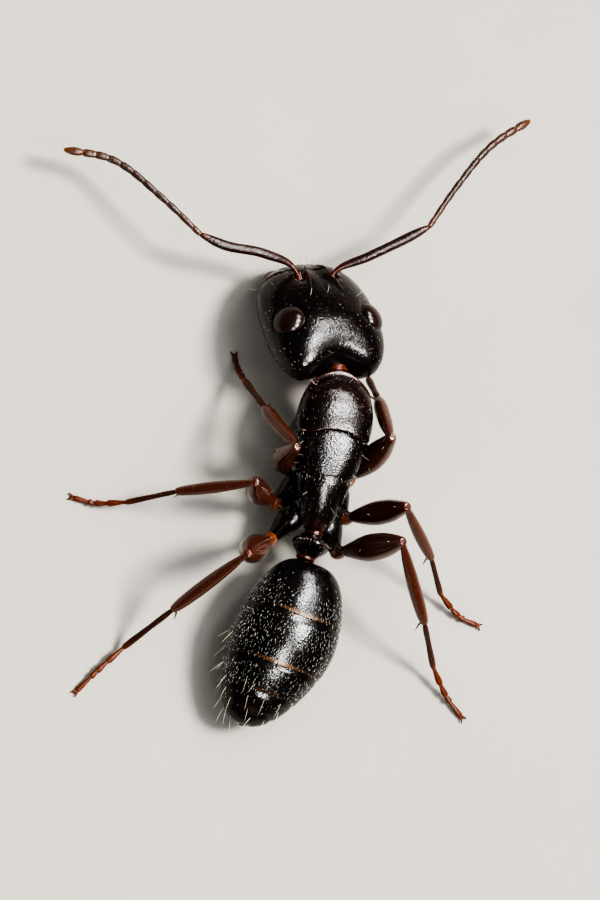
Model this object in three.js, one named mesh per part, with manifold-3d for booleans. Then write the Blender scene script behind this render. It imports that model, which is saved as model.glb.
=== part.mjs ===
// Carpenter ant, media worker, standing: a life-size still model.
// Millimetres, +Z up. The head points towards -Y and the ant's left side is +X.
// The six feet stand on the plane z = 0, with the origin at the middle of the outline.

import * as THREE from 'three';
import { mergeVertices } from 'three/addons/utils/BufferGeometryUtils.js';
import Module from 'manifold-3d';

const wasm = await Module();
wasm.setup();

// ---------------------------------------------------------------- driving dimensions

const MIDDLE = new THREE.Vector3(1.274, -1.227, 0); // middle of the outline, in ant coordinates
const GAP = 0.03; // clearance between neighbouring solids

const HEAD_LENGTH = 3.02;
const HEAD_HALF_WIDTH = 1.4;
const EYE_LENGTH = 0.7;
const EYE_WIDTH = 0.56;
const EYE_AT = [1.05, 0.31, 0.52]; // middle of the left eye, in head coordinates
const EYE_TILT = 48; // how far the eyes face up from sideways
const TRUNK_LENGTH = 3.7;
const GASTER_LENGTH = 4.0;
const GASTER_HALF_WIDTH = 1.21;
const GASTER_BEND = 0.09; // how far its middle bows to the right
const GASTER_DRIFT = 0.23; // how far its tip ends up to the left
const LEAST_RADIUS = 0.27; // legs and feelers stay half a millimetre thick in the solids

const HEAD_SIDES = 20;
const TRUNK_SIDES = 18;
const GASTER_SIDES = 18;
const LIMB_SIDES = 8;

const DEGREE = Math.PI / 180;

// How each part is set in ant coordinates. Yaw turns it to the ant's left, pitch turns it
// nose down, roll leans its crown to the ant's left.
const HEAD_SET = { at: [0.71, -2.96, 1.42], yaw: 23, pitch: 32, roll: -13 };
const TRUNK_SET = { at: [0.05, -0.1, 0], yaw: 3, pitch: 0, roll: 0 };
const PETIOLE_SET = { at: [-0.08, 1.68, 1.42], yaw: -8, pitch: 0, roll: 0 };
const GASTER_SET = { at: [-0.15, 2.47, 1.55], yaw: -8.5, pitch: -10, roll: 0 };

// ---------------------------------------------------------------- shape helpers

// A smooth function of t through [t, value] points.
function smooth(points) {
  const stations = points.map((point) => point[0]);
  const values = points.map((point) => point[1]);
  const interpolant = new THREE.CubicInterpolant(stations, values, 1);
  return (t) => interpolant.evaluate(THREE.MathUtils.clamp(t, stations[0], stations.at(-1)))[0];
}

// A closed geometry through rings of points, with a pole at each end.
function closedRings(firstPole, rings, lastPole) {
  const sides = rings[0].length;
  const points = [firstPole, ...rings.flat(), lastPole];
  const index = [];
  const at = (ring, side) => 1 + ring * sides + (side % sides);
  const last = points.length - 1;
  for (let side = 0; side < sides; side += 1) {
    index.push(0, at(0, side + 1), at(0, side));
    for (let ring = 0; ring + 1 < rings.length; ring += 1) {
      index.push(at(ring, side), at(ring, side + 1), at(ring + 1, side));
      index.push(at(ring, side + 1), at(ring + 1, side + 1), at(ring + 1, side));
    }
    index.push(at(rings.length - 1, side), at(rings.length - 1, side + 1), last);
  }
  const geometry = new THREE.BufferGeometry().setFromPoints(points);
  geometry.setIndex(index);
  return facingOut(geometry);
}

// Turns every triangle of a closed geometry over if its enclosed volume comes out negative.
function facingOut(geometry) {
  const position = geometry.attributes.position;
  const index = geometry.index.array;
  const corner = [new THREE.Vector3(), new THREE.Vector3(), new THREE.Vector3()];
  let volume = 0;
  for (let i = 0; i < index.length; i += 3) {
    corner.forEach((point, k) => point.fromBufferAttribute(position, index[i + k]));
    volume += corner[0].dot(corner[1].cross(corner[2]));
  }
  if (volume < 0) {
    for (let i = 0; i < index.length; i += 3) {
      [index[i], index[i + 1]] = [index[i + 1], index[i]];
    }
  }
  return geometry;
}

// An egg-shaped body lying along +Y from y = 0. Its ring at share t has a half width, a rise
// above the middle line and a fall below it. All three close to nothing at both ends as a
// power of the sine of the station angle. The power runs from blunt[0] at the front to
// blunt[1] at the rear, and a small power gives a blunt end. `dent` moves the middle of
// the rear end forward, and `sway` moves a ring to the ant's left.
function egg({
  length,
  half,
  rise,
  fall,
  line = constant(0),
  sway = constant(0),
  blunt,
  square = 1,
  dent = 0,
  steps,
  sides,
  grow = 0,
}) {
  const rings = [];
  for (let step = 1; step < steps; step += 1) {
    const angle = (Math.PI * step) / steps;
    const t = (1 - Math.cos(angle)) / 2;
    const close = Math.sin(angle) ** THREE.MathUtils.lerp(blunt[0], blunt[1], t);
    const ring = [];
    for (let side = 0; side < sides; side += 1) {
      const turn = (2 * Math.PI * side) / sides;
      const across = Math.sign(Math.cos(turn)) * Math.abs(Math.cos(turn)) ** square;
      const up = Math.sign(Math.sin(turn)) * Math.abs(Math.sin(turn)) ** square;
      const height = up > 0 ? rise(t) : fall(t);
      const x = sway(t) + across * (half(t) * close + grow);
      const z = line(t) + up * (height * close + grow);
      const inward = dent * t ** 3 * Math.cos((Math.PI / 2) * across * close) ** 2;
      ring.push(new THREE.Vector3(x, t * length - inward, z));
    }
    rings.push(ring);
  }
  const front = new THREE.Vector3(0, -grow, line(0));
  const rear = new THREE.Vector3(0, length - dent + grow, line(1));
  return closedRings(front, rings, rear);
}

// A limb from one point to another, of elliptic section. `deep` is its half depth in the
// plane that holds the limb and the `plane` direction, `thin` its half thickness across it.
function limb({ from, to, deep, thin = deep, plane = UP, steps = 6, blunt = 0.35, grow = 0 }) {
  const along = to.clone().sub(from);
  const length = along.length();
  along.normalize();
  const across = along.clone().cross(plane).normalize();
  const up = across.clone().cross(along).normalize();
  const rings = [];
  for (let step = 1; step < steps; step += 1) {
    const angle = (Math.PI * step) / steps;
    const t = (1 - Math.cos(angle)) / 2;
    const close = Math.sin(angle) ** blunt;
    const middle = from.clone().addScaledVector(along, t * length);
    const ring = [];
    for (let side = 0; side < LIMB_SIDES; side += 1) {
      const turn = (2 * Math.PI * (side + 0.5)) / LIMB_SIDES;
      const point = middle.clone();
      point.addScaledVector(across, Math.cos(turn) * (thin(t) * close + grow));
      point.addScaledVector(up, Math.sin(turn) * (deep(t) * close + grow));
      ring.push(point);
    }
    rings.push(ring);
  }
  const start = from.clone().addScaledVector(along, -grow);
  const end = to.clone().addScaledVector(along, grow);
  return closedRings(start, rings, end);
}

const UP = new THREE.Vector3(0, 0, 1);

function constant(value) {
  return () => value;
}

// ---------------------------------------------------------------- joins and cuts

function solidOf(geometry) {
  const plain = geometry.clone();
  plain.deleteAttribute('normal');
  plain.deleteAttribute('uv');
  const merged = mergeVertices(plain, 1e-5);
  const triVerts = Uint32Array.from(merged.index.array);
  const vertProperties = Float32Array.from(merged.attributes.position.array);
  return new wasm.Manifold(new wasm.Mesh({ numProp: 3, vertProperties, triVerts }));
}

// The largest piece of a solid, back as a geometry.
function geometryOf(solid) {
  const pieces = solid.decompose();
  const largest = pieces.reduce((best, piece) => (piece.volume() > best.volume() ? piece : best));
  const mesh = largest.getMesh();
  const geometry = new THREE.BufferGeometry();
  geometry.setAttribute('position', new THREE.BufferAttribute(Float32Array.from(mesh.vertProperties), 3));
  geometry.setIndex(new THREE.BufferAttribute(Uint32Array.from(mesh.triVerts), 1));
  return geometry;
}

function cut(geometry, ...others) {
  const start = solidOf(geometry);
  const solid = others.reduce((rest, other) => rest.subtract(solidOf(other)), start);
  return geometryOf(solid);
}

function join(geometry, ...others) {
  const start = solidOf(geometry);
  const solid = others.reduce((rest, other) => rest.add(solidOf(other)), start);
  return geometryOf(solid);
}

// A large block on one side of the plane through `at` with the outward direction `facing`.
function block(at, facing) {
  const size = 4 * TRUNK_LENGTH + 4 * GASTER_LENGTH;
  const geometry = new THREE.BoxGeometry(size, size, size);
  const turn = new THREE.Quaternion().setFromUnitVectors(UP, facing.clone().normalize());
  const centre = at.clone().addScaledVector(facing.clone().normalize(), size / 2);
  return geometry.applyQuaternion(turn).translate(centre.x, centre.y, centre.z);
}

// The stretch of a body between two planes that face each other, each given as a point on
// the middle line and a direction, and each set back by half the gap.
function slice(geometry, start, end) {
  const cutters = [];
  if (start) {
    const back = start.facing.clone().normalize().multiplyScalar(-1);
    cutters.push(block(start.at.clone().addScaledVector(back, -GAP / 2), back));
  }
  if (end) {
    const ahead = end.facing.clone().normalize();
    cutters.push(block(end.at.clone().addScaledVector(ahead, -GAP / 2), ahead));
  }
  return cut(geometry, ...cutters);
}

// ---------------------------------------------------------------- placing

function placement({ at, yaw, pitch, roll }) {
  const turn = new THREE.Euler(pitch * DEGREE, roll * DEGREE, yaw * DEGREE, 'ZXY');
  const one = new THREE.Vector3(1, 1, 1);
  const spin = new THREE.Quaternion().setFromEuler(turn);
  return new THREE.Matrix4().compose(new THREE.Vector3(...at), spin, one);
}

const headPlace = placement(HEAD_SET);
const trunkPlace = placement(TRUNK_SET);
const petiolePlace = placement(PETIOLE_SET);
const gasterPlace = placement(GASTER_SET);

const ant = new THREE.Group();

const COLOURS = {
  shell: { color: 0x0d0b0b, roughness: 0.3 },
  rust: { color: 0x4a150c, roughness: 0.35 },
  leg: { color: 0x2e0f0a, roughness: 0.35 },
  trochanter: { color: 0x8a3f12, roughness: 0.35 },
  tarsus: { color: 0x7a2a10, roughness: 0.45 },
  feeler: { color: 0x33201c, roughness: 0.5 },
  eye: { color: 0x2b1a14, roughness: 0.25 },
};

function add(name, geometry, finish) {
  geometry.computeVertexNormals();
  const material = new THREE.MeshStandardMaterial({ ...COLOURS[finish], metalness: 0, flatShading: true });
  const mesh = new THREE.Mesh(geometry, material);
  mesh.name = name;
  ant.add(mesh);
  return mesh;
}

// ---------------------------------------------------------------- head

// In head coordinates the middle of the head is the origin and the face looks along -Y.

function headCapsule(grow = 0) {
  const capsule = egg({
    length: HEAD_LENGTH,
    half: smooth([[0, 1.18], [0.2, 1.34], [0.5, HEAD_HALF_WIDTH], [0.8, HEAD_HALF_WIDTH], [1, 1.34]]),
    rise: smooth([[0, 0.52], [0.25, 0.74], [0.5, 0.86], [0.75, 0.84], [1, 0.6]]),
    fall: smooth([[0, 0.4], [0.3, 0.62], [0.6, 0.76], [1, 0.7]]),
    blunt: [0.42, 0.35],
    square: 0.92,
    dent: 0.33,
    steps: 14,
    sides: HEAD_SIDES,
    grow,
  });
  return capsule.translate(0, -HEAD_LENGTH / 2, 0);
}

function eyeball(side, grow = 0) {
  const ball = new THREE.SphereGeometry(1, 12, 8);
  ball.rotateX(Math.PI / 2);
  ball.scale(0.2 + grow, EYE_LENGTH / 2 + grow, EYE_WIDTH / 2 + grow);
  ball.rotateY(-side * EYE_TILT * DEGREE);
  return ball.translate(side * EYE_AT[0], EYE_AT[1], EYE_AT[2]);
}

// A toothed blade, closed under the face: three corners in plan, thick at the hinge.
function mandible(side) {
  return limb({
    from: new THREE.Vector3(side * 0.74, -1.12, -0.24),
    to: new THREE.Vector3(side * 0.16, -1.86, -0.2),
    deep: smooth([[0, 0.24], [0.5, 0.22], [1, 0.15]]),
    thin: smooth([[0, 0.3], [0.4, 0.33], [1, 0.25]]),
    steps: 7,
  });
}

function buildHead() {
  const capsule = headCapsule();
  const eyes = { left: 1, right: -1 };
  for (const [name, side] of Object.entries(eyes)) {
    const eye = cut(eyeball(side), headCapsule(GAP));
    add(`eye_${name}`, eye.applyMatrix4(headPlace), 'eye');
    const otherHalf = block(new THREE.Vector3(side * GAP, 0, 0), new THREE.Vector3(-side, 0, 0));
    const blade = cut(mandible(side), headCapsule(GAP), otherHalf);
    add(`mandible_${name}`, blade.applyMatrix4(headPlace), 'shell');
  }
  add('head', capsule.applyMatrix4(headPlace), 'shell');
}

// ---------------------------------------------------------------- trunk

// In trunk coordinates y = 0 is the middle of the trunk and z = 0 the floor.

function trunkBody(grow = 0) {
  const body = egg({
    length: TRUNK_LENGTH,
    half: smooth([[0, 0.5], [0.1, 0.78], [0.28, 0.91], [0.45, 0.84], [0.7, 0.64], [0.88, 0.53], [1, 0.5]]),
    rise: smooth([[0, 0.3], [0.15, 0.5], [0.3, 0.55], [0.55, 0.52], [0.8, 0.5], [1, 0.42]]),
    fall: smooth([[0, 0.25], [0.2, 0.6], [0.4, 0.78], [0.7, 0.72], [1, 0.4]]),
    line: smooth([[0, 1.95], [0.2, 2.08], [0.45, 2.02], [0.7, 1.84], [0.88, 1.66], [1, 1.5]]),
    blunt: [0.45, 0.45],
    steps: 18,
    sides: TRUNK_SIDES,
    grow,
  });
  return body.translate(0, -TRUNK_LENGTH / 2, 0);
}

// The two cross cuts: behind the pronotum, and along the groove ahead of the propodeum.
const PRONOTUM_CUT = { at: new THREE.Vector3(0, -0.42, 2.1), facing: new THREE.Vector3(0, 1, -0.35) };
const GROOVE_CUT = { at: new THREE.Vector3(0, 0.68, 1.9), facing: new THREE.Vector3(0, 1, 0.25) };

function buildTrunk() {
  add('pronotum', slice(trunkBody(), null, PRONOTUM_CUT).applyMatrix4(trunkPlace), 'rust');
  add('mesothorax', slice(trunkBody(), PRONOTUM_CUT, GROOVE_CUT).applyMatrix4(trunkPlace), 'shell');
  add('propodeum', slice(trunkBody(), GROOVE_CUT, null).applyMatrix4(trunkPlace), 'shell');
}

function buildNeck() {
  const neck = limb({
    from: new THREE.Vector3(0.12, -1.5, 1.72),
    to: new THREE.Vector3(0.24, -2.25, 1.86),
    deep: smooth([[0, 0.36], [1, 0.26]]),
    steps: 6,
  });
  const trunk = trunkBody(GAP).applyMatrix4(trunkPlace);
  const head = headCapsule(GAP).applyMatrix4(headPlace);
  add('neck', cut(neck, trunk, head), 'rust');
}

// ---------------------------------------------------------------- petiole and gaster

const PETIOLE_LENGTH = 0.78;

// A barrel with an upright scale on it, in its own coordinates with y along the barrel.
function petioleBody(grow = 0) {
  const barrel = egg({
    length: PETIOLE_LENGTH,
    half: constant(0.27),
    rise: constant(0.22),
    fall: constant(0.24),
    blunt: [0.35, 0.35],
    steps: 7,
    sides: 10,
    grow,
  });
  const scale = egg({
    length: 0.95,
    half: smooth([[0, 0.3], [0.4, 0.4], [0.8, 0.42], [1, 0.36]]),
    rise: constant(0.2),
    fall: constant(0.16),
    blunt: [0.5, 0.5],
    steps: 8,
    sides: 10,
    grow,
  });
  scale.rotateX(Math.PI / 2).translate(0, 0.42, -0.2);
  return join(barrel, scale);
}

function gasterBody(grow = 0) {
  return egg({
    length: GASTER_LENGTH,
    half: smooth([[0, 1.1], [0.3, 1.2], [0.5, GASTER_HALF_WIDTH], [0.75, 1.07], [1, 0.9]]),
    rise: smooth([[0, 0.86], [0.4, 0.98], [0.7, 0.86], [1, 0.62]]),
    fall: smooth([[0, 0.78], [0.4, 0.95], [0.7, 0.9], [1, 0.6]]),
    blunt: [0.6, 0.75],
    sway: (t) => GASTER_DRIFT * t - GASTER_BEND * Math.sin(Math.PI * t),
    steps: 22,
    sides: GASTER_SIDES,
    grow,
  });
}

// The rear edges of the first four rings, as shares of the length. Each leans a little so
// that the rings overlap backwards on top.
const RING_EDGES = [0.31, 0.59, 0.77, 0.9];

function ringCut(share) {
  return { at: new THREE.Vector3(0, share * GASTER_LENGTH, 0), facing: new THREE.Vector3(0, 1, 0.12) };
}

function buildWaistAndGaster() {
  const trunk = trunkBody(GAP).applyMatrix4(trunkPlace);
  const whole = gasterBody();
  const edges = [null, ...RING_EDGES.map(ringCut), null];
  for (let ring = 0; ring + 1 < edges.length; ring += 1) {
    const part = slice(whole, edges[ring], edges[ring + 1]);
    add(`gaster_${ring + 1}`, part.applyMatrix4(gasterPlace), 'shell');
  }
  const petiole = petioleBody().applyMatrix4(petiolePlace);
  add('petiole', cut(petiole, trunk, gasterBody(GAP).applyMatrix4(gasterPlace)), 'shell');
}

// ---------------------------------------------------------------- legs

// Each pair has the root of its coxa under the trunk, its hip beside the trunk, the lengths
// of femur, tibia, first tarsal joint and the two halves of the other four, and the half
// depth of its femur.
const PAIRS = {
  front: {
    root: [0.36, -0.95, 1.45],
    hip: [0.72, 0.28, 0.85],
    lengths: [2.35, 1.83, 1.2, 0.55, 0.42],
    femur: 0.3,
  },
  middle: {
    root: [0.3, 0.5, 1.3],
    hip: [0.8, 1.22, 0.83],
    lengths: [2.32, 2.04, 1.38, 0.75, 0.48],
    femur: 0.28,
  },
  hind: {
    root: [0.28, 1.25, 1.25],
    hip: [0.77, 2.03, 0.88],
    lengths: [2.72, 2.5, 1.68, 0.84, 0.6],
    femur: 0.31,
  },
};

// The pose: for femur, tibia, first tarsal joint and the rest of the foot, the heading in
// degrees from straight ahead towards the leg's own side, and the climb above the level.
// The last stretch always ends on the floor, so it has a heading only.
const POSE = {
  front_left: [[77, 81], [32, -52], [28, -52], [17, -58], [15]],
  front_right: [[23, 69], [-5, -55], [-6, -61], [-13, -28], [-17]],
  middle_left: [[86, 64], [105, -42], [111, -46], [100, -31], [86]],
  middle_right: [[74, 66], [125, -46], [134, -50], [122, -22], [102]],
  hind_left: [[128, 62], [142, -46], [143, -47], [143, -6], [146]],
  hind_right: [[77, 71], [140, -39], [137, -51], [136, -27], [129]],
};

const CLAW_HEIGHT = 0.05; // height of the foot's middle line at the claws
const SOLE_DEPTH = 0.14; // how much of the foot's round underside the flat sole takes off

// The joints of a leg: hip, knee, ankle, end of the first tarsal joint, bend and claws.
function legJoints(name) {
  const [pairName, sideName] = name.split('_');
  const side = sideName === 'left' ? 1 : -1;
  const pair = PAIRS[pairName];
  const joints = [new THREE.Vector3(side * pair.hip[0], pair.hip[1], pair.hip[2])];
  POSE[name].forEach(([heading, climb], k) => {
    const start = joints.at(-1);
    const length = pair.lengths[k];
    const fallen = Math.asin(THREE.MathUtils.clamp((CLAW_HEIGHT - start.z) / length, -1, 1));
    const rise = climb === undefined ? fallen : climb * DEGREE;
    const level = Math.cos(rise);
    const turn = heading * DEGREE;
    const step = new THREE.Vector3(side * Math.sin(turn) * level, -Math.cos(turn) * level, Math.sin(rise));
    joints.push(start.clone().addScaledVector(step, length));
  });
  return { joints, side, pair };
}

// A point `distance` along the way from one joint to the next.
function towards(from, to, distance) {
  return from.clone().addScaledVector(to.clone().sub(from).normalize(), distance);
}

function buildLeg(name) {
  const { joints, side, pair } = legJoints(name);
  const [hip, knee, ankle, bend, ball, claw] = joints;
  const root = new THREE.Vector3(side * pair.root[0], pair.root[1], pair.root[2]);
  const trunk = trunkBody(GAP).applyMatrix4(trunkPlace);
  const floor = block(new THREE.Vector3(0, 0, 0), new THREE.Vector3(0, 0, -1));
  const full = constant(LEAST_RADIUS);

  const coxaShape = { from: root, to: hip, deep: smooth([[0, 0.36], [0.4, 0.36], [1, 0.28]]), steps: 5 };
  const trochanterShape = {
    from: towards(hip, knee, -0.08),
    to: towards(hip, knee, 0.42),
    deep: full,
    steps: 5,
  };
  const femurShape = {
    from: towards(hip, knee, 0.3),
    to: knee,
    deep: smooth([[0, LEAST_RADIUS], [0.35, pair.femur], [1, LEAST_RADIUS]]),
    thin: full,
  };
  const tibiaShape = { from: knee, to: ankle, deep: full };
  const firstShape = { from: ankle, to: bend, deep: full, steps: 5 };
  const footEnd = claw.clone().setZ(LEAST_RADIUS - SOLE_DEPTH);
  const instep = limb({ from: bend, to: towards(ball, bend, -LEAST_RADIUS / 2), deep: full, steps: 5 });
  const toe = limb({ from: towards(ball, footEnd, -LEAST_RADIUS), to: footEnd, deep: full, steps: 5 });

  const grown = (shape) => limb({ ...shape, grow: GAP });
  add(`coxa_${name}`, cut(limb(coxaShape), trunk), 'shell');
  add(`trochanter_${name}`, cut(limb(trochanterShape), grown(coxaShape), trunk), 'trochanter');
  add(`femur_${name}`, cut(limb(femurShape), grown(trochanterShape), grown(coxaShape), trunk), 'leg');
  add(`tibia_${name}`, cut(limb(tibiaShape), grown(femurShape), trunk), 'leg');
  add(`metatarsus_${name}`, cut(limb(firstShape), grown(tibiaShape), floor), 'tarsus');
  add(`foot_${name}`, cut(join(instep, toe), grown(firstShape), floor), 'tarsus');
}

// ---------------------------------------------------------------- antennae

// The heading and climb of the scape and of the three lengths of the whip, headings counted
// from straight ahead towards the antenna's own side.
const ANTENNAE = {
  left: { side: 1, turns: [[80, 5], [57, -6], [63, -9], [90, -7]] },
  right: { side: -1, turns: [[51, 7], [25, -7], [31, -9], [46, -8]] },
};
const STRETCHES = [2.6, 1.2, 1.45, 1.1]; // lengths of the scape and of the parts of the whip
const SOCKET = [0.36, -0.84, 0.6]; // the left socket, in head coordinates

function buildAntenna(name) {
  const { side, turns } = ANTENNAE[name];
  const socket = new THREE.Vector3(side * SOCKET[0], SOCKET[1], SOCKET[2]).applyMatrix4(headPlace);
  const joints = [socket];
  turns.forEach(([heading, climb], k) => {
    const level = Math.cos(climb * DEGREE);
    const turn = heading * DEGREE;
    const rise = Math.sin(climb * DEGREE);
    const step = new THREE.Vector3(side * Math.sin(turn) * level, -Math.cos(turn) * level, rise);
    joints.push(joints.at(-1).clone().addScaledVector(step, STRETCHES[k]));
  });
  const head = headCapsule(GAP).applyMatrix4(headPlace);
  const names = [`scape_${name}`, `whip_base_${name}`, `whip_middle_${name}`, `whip_tip_${name}`];
  const full = constant(LEAST_RADIUS);
  const shapes = names.map((part, k) => ({ from: joints[k], to: joints[k + 1], deep: full, steps: 5 }));
  shapes.forEach((shape, k) => {
    const before = k > 0 ? limb({ ...shapes[k - 1], grow: GAP }) : head;
    add(names[k], cut(limb(shape), before, head), 'feeler');
  });
}

// ---------------------------------------------------------------- the ant

buildHead();
buildTrunk();
buildNeck();
buildWaistAndGaster();
Object.keys(POSE).forEach(buildLeg);
Object.keys(ANTENNAE).forEach(buildAntenna);
ant.position.copy(MIDDLE).negate();

export default ant;
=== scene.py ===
import math

import bpy
import numpy as np
from mathutils import Matrix


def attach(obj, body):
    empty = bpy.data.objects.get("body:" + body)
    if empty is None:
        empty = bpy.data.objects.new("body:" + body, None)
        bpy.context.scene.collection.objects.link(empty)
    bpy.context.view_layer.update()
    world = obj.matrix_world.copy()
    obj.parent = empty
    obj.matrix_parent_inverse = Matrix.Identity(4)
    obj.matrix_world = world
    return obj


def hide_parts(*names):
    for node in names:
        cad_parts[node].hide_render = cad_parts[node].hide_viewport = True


bl_info = {
    "name": "Carpenter ant model",
    "version": (1, 0, 0),
    "blender": (4, 5, 0),
    "location": "3D View > Sidebar > Ant",
    "description": "Builds a life-size carpenter ant worker, plate by plate, with its hairs",
    "category": "Add Mesh",
}

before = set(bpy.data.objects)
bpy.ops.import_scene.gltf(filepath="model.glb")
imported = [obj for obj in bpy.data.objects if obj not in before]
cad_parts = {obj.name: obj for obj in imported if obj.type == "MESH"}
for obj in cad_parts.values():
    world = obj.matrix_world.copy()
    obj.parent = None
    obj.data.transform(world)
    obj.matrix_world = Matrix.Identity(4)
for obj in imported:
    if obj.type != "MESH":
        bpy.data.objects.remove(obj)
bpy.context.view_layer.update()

# ---------------------------------------------------------------- sizes, in millimetres

MM = 0.001  # metres in a millimetre
MIDDLE = np.array([1.274, -1.227, 0.0])  # middle of the outline, in ant coordinates
UP = np.array([0.0, 0.0, 1.0])
DEGREE = math.pi / 180
FULL_TURN = 2 * math.pi

# Ant coordinates: the head points towards -Y, the ant's left is +X, the feet stand on z = 0.
# Yaw turns a part to the ant's left, pitch turns it nose down, roll leans its crown left.
HEAD_SET = {"at": (0.71, -2.96, 1.42), "yaw": 23, "pitch": 32, "roll": -13}
TRUNK_SET = {"at": (0.05, -0.1, 0), "yaw": 3, "pitch": 0, "roll": 0}
PETIOLE_SET = {"at": (-0.08, 1.68, 1.42), "yaw": -8, "pitch": 0, "roll": 0}
GASTER_SET = {"at": (-0.15, 2.47, 1.55), "yaw": -8.5, "pitch": -10, "roll": 0}

EYE_AT = np.array([1.03, 0.31, 0.52])  # middle of the left eye, in head coordinates
EYE_TILT = 48  # how far the eyes face up from sideways, in degrees
EYE_DEPTH = 0.22  # half thickness of the eyeball
EYE_BACK = 1.75  # how far from its outer point the eye carries its fine rows, in radians
FACET = 0.024  # distance between the lenses of an eye
FACET_BULGE = 0.004  # how far a lens stands out, as a share of the eye's radius
SOCKET = np.array([0.36, -0.84, 0.6])  # the left feeler's socket, in head coordinates
FLOOR_GAP = 0.008  # least height of a hair's tip
HAIR_SINK = 0.012  # how deep a hair's root lies under the skin
HAIR_PATCH = 0.003  # size of a hair's patch on the unwrap
CLAW_HEIGHT = 0.05  # height of the foot's middle line at the claws
TOE_JOINTS = (0.33, 0.24, 0.15, 0.36)  # lengths of the last four foot joints to each other

# For each pair of legs: the root of the coxa and the hip beside the trunk, the lengths of
# femur, tibia, first foot joint and the two halves of the other four, the stoutness of thigh
# and shin, the radius of the coxa at its root, how far the thigh bows, and how far the
# coxa's end and the thigh's base stand back from the hip.
PAIRS = {
    "front": {
        "root": (0.36, -0.95, 1.45), "hip": (0.72, 0.28, 0.85),
        "lengths": (2.35, 1.83, 1.2, 0.55, 0.42),
        "thigh": 1.08, "shin": 1.1, "coxa": 0.4, "bow": 0.2, "setback": 0.1,
    },
    "middle": {
        "root": (0.3, 0.5, 1.3), "hip": (0.8, 1.22, 0.83),
        "lengths": (2.32, 2.04, 1.38, 0.75, 0.48),
        "thigh": 1.06, "shin": 0.92, "coxa": 0.32, "bow": 0.18, "setback": 0.0,
    },
    "hind": {
        "root": (0.28, 1.25, 1.25), "hip": (0.77, 2.03, 0.88),
        "lengths": (2.72, 2.5, 1.68, 0.84, 0.6),
        "thigh": 1.18, "shin": 1.0, "coxa": 0.33, "bow": 0.14, "setback": 0.0,
    },
}

# Heading from straight ahead towards the leg's own side, and climb above the level, for each
# length of the leg, in degrees. The last length always ends at the floor.
POSE = {
    "front_left": ((77, 81), (32, -52), (28, -52), (17, -58), (15, None)),
    "front_right": ((23, 69), (-5, -55), (-6, -61), (-13, -28), (-17, None)),
    "middle_left": ((86, 64), (105, -42), (111, -46), (100, -31), (86, None)),
    "middle_right": ((74, 66), (125, -46), (134, -50), (122, -22), (102, None)),
    "hind_left": ((128, 62), (142, -46), (143, -47), (143, -6), (146, None)),
    "hind_right": ((77, 71), (140, -39), (137, -51), (136, -27), (129, None)),
}

# Heading and climb of the scape and of three lengths of the whip, for each feeler.
FEELER_POSE = {
    "left": ((80, 5), (57, -6), (63, -9), (90, -7)),
    "right": ((51, 7), (25, -7), (31, -9), (46, -8)),
}
FEELER_LENGTHS = (2.6, 1.2, 1.45, 1.1)
WHIP_REACH = 3.72  # length of the whip that its down is spaced for
SCAPE_BEND = {"left": (0.2, 0.19), "right": (0.09, 0.04)}  # how far base and first third bow ahead
# Each joint's part of the whip, and how much of the tip's colour it has.
WHIP_JOINTS = (0.24, 0.42, 0.37, 0.36, 0.35, 0.34, 0.33, 0.31, 0.3, 0.28, 0.45)
WHIP_TINTS = (0.3, 0.14, 0, 0, 0, 0, 0, 0.06, 0.14, 0.28, 0.4)

SIDES = {"left": 1, "right": -1}

# Rows from end to end and columns round, for the grid of each kind of piece.
HEAD_GRID = (262, 316)
JAW_GRID = (150, 64)
LIP_GRID = (40, 60)
PALP_GRID = (60, 20)
SCAPE_GRID = (130, 40)
WHIP_GRID = (44, 32)
NECK_GRID = (90, 90)
WAIST_GRID = (220, 200)
NOZZLE_GRID = (40, 60)
LIMB_GRID = (90, 64)
RING_GRID = (60, 56)
FOOT_GRID = (70, 40)
TOE_GRID = (36, 32)
CLAW_GRID = (32, 16)
PAD_GRID = (20, 20)
SPUR_GRID = (30, 14)
TRUNK_ROWS = (170, 130, 150)  # of its three plates
TRUNK_COLUMNS = 240
GASTER_ROWS = (150, 150, 110, 90, 80)  # of its five rings
GASTER_COLUMNS = 260
EYE_ROWS = (150, 14)  # over the lenses, and behind them
EYE_COLUMNS = 300


# ---------------------------------------------------------------- curves and shapes

def smooth(*points):
    """A smooth function through (station, value) points.

    Cubic pieces, whose slope at each point is that of its two neighbours. A value may be a
    number or a point in space."""
    stations = np.array([point[0] for point in points], dtype=float)
    values = np.array([point[1] for point in points], dtype=float)
    slopes = np.gradient(values, stations, axis=0)

    def at(x):
        x = np.clip(np.asarray(x, dtype=float), stations[0], stations[-1])
        piece = np.clip(np.searchsorted(stations, x) - 1, 0, len(stations) - 2)
        width = stations[piece + 1] - stations[piece]
        s = (x - stations[piece]) / width
        if values.ndim == 2:
            s = s[..., None]
            width = width[..., None]
        start = (1 + 2 * s) * (1 - s) ** 2 * values[piece] + s * (1 - s) ** 2 * width * slopes[piece]
        end = s**2 * (3 - 2 * s) * values[piece + 1] + s**2 * (s - 1) * width * slopes[piece + 1]
        return start + end

    return at


def level(value):
    """The same value at every station."""
    return lambda t: value + 0.0 * np.asarray(t, dtype=float)


def ease(x, low, high):
    """0 below low, 1 above high, and a smooth S between them."""
    s = np.clip((x - low) / (high - low), 0, 1)
    return s * s * (3 - 2 * s)


def bell(x, width):
    """1 at x = 0, falling off like a bell to a third at x = width."""
    return np.exp(-((x / width) ** 2))


def unit(vectors):
    """Vectors made one long."""
    size = np.linalg.norm(vectors, axis=-1, keepdims=True)
    return vectors / np.maximum(size, 1e-12)


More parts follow.
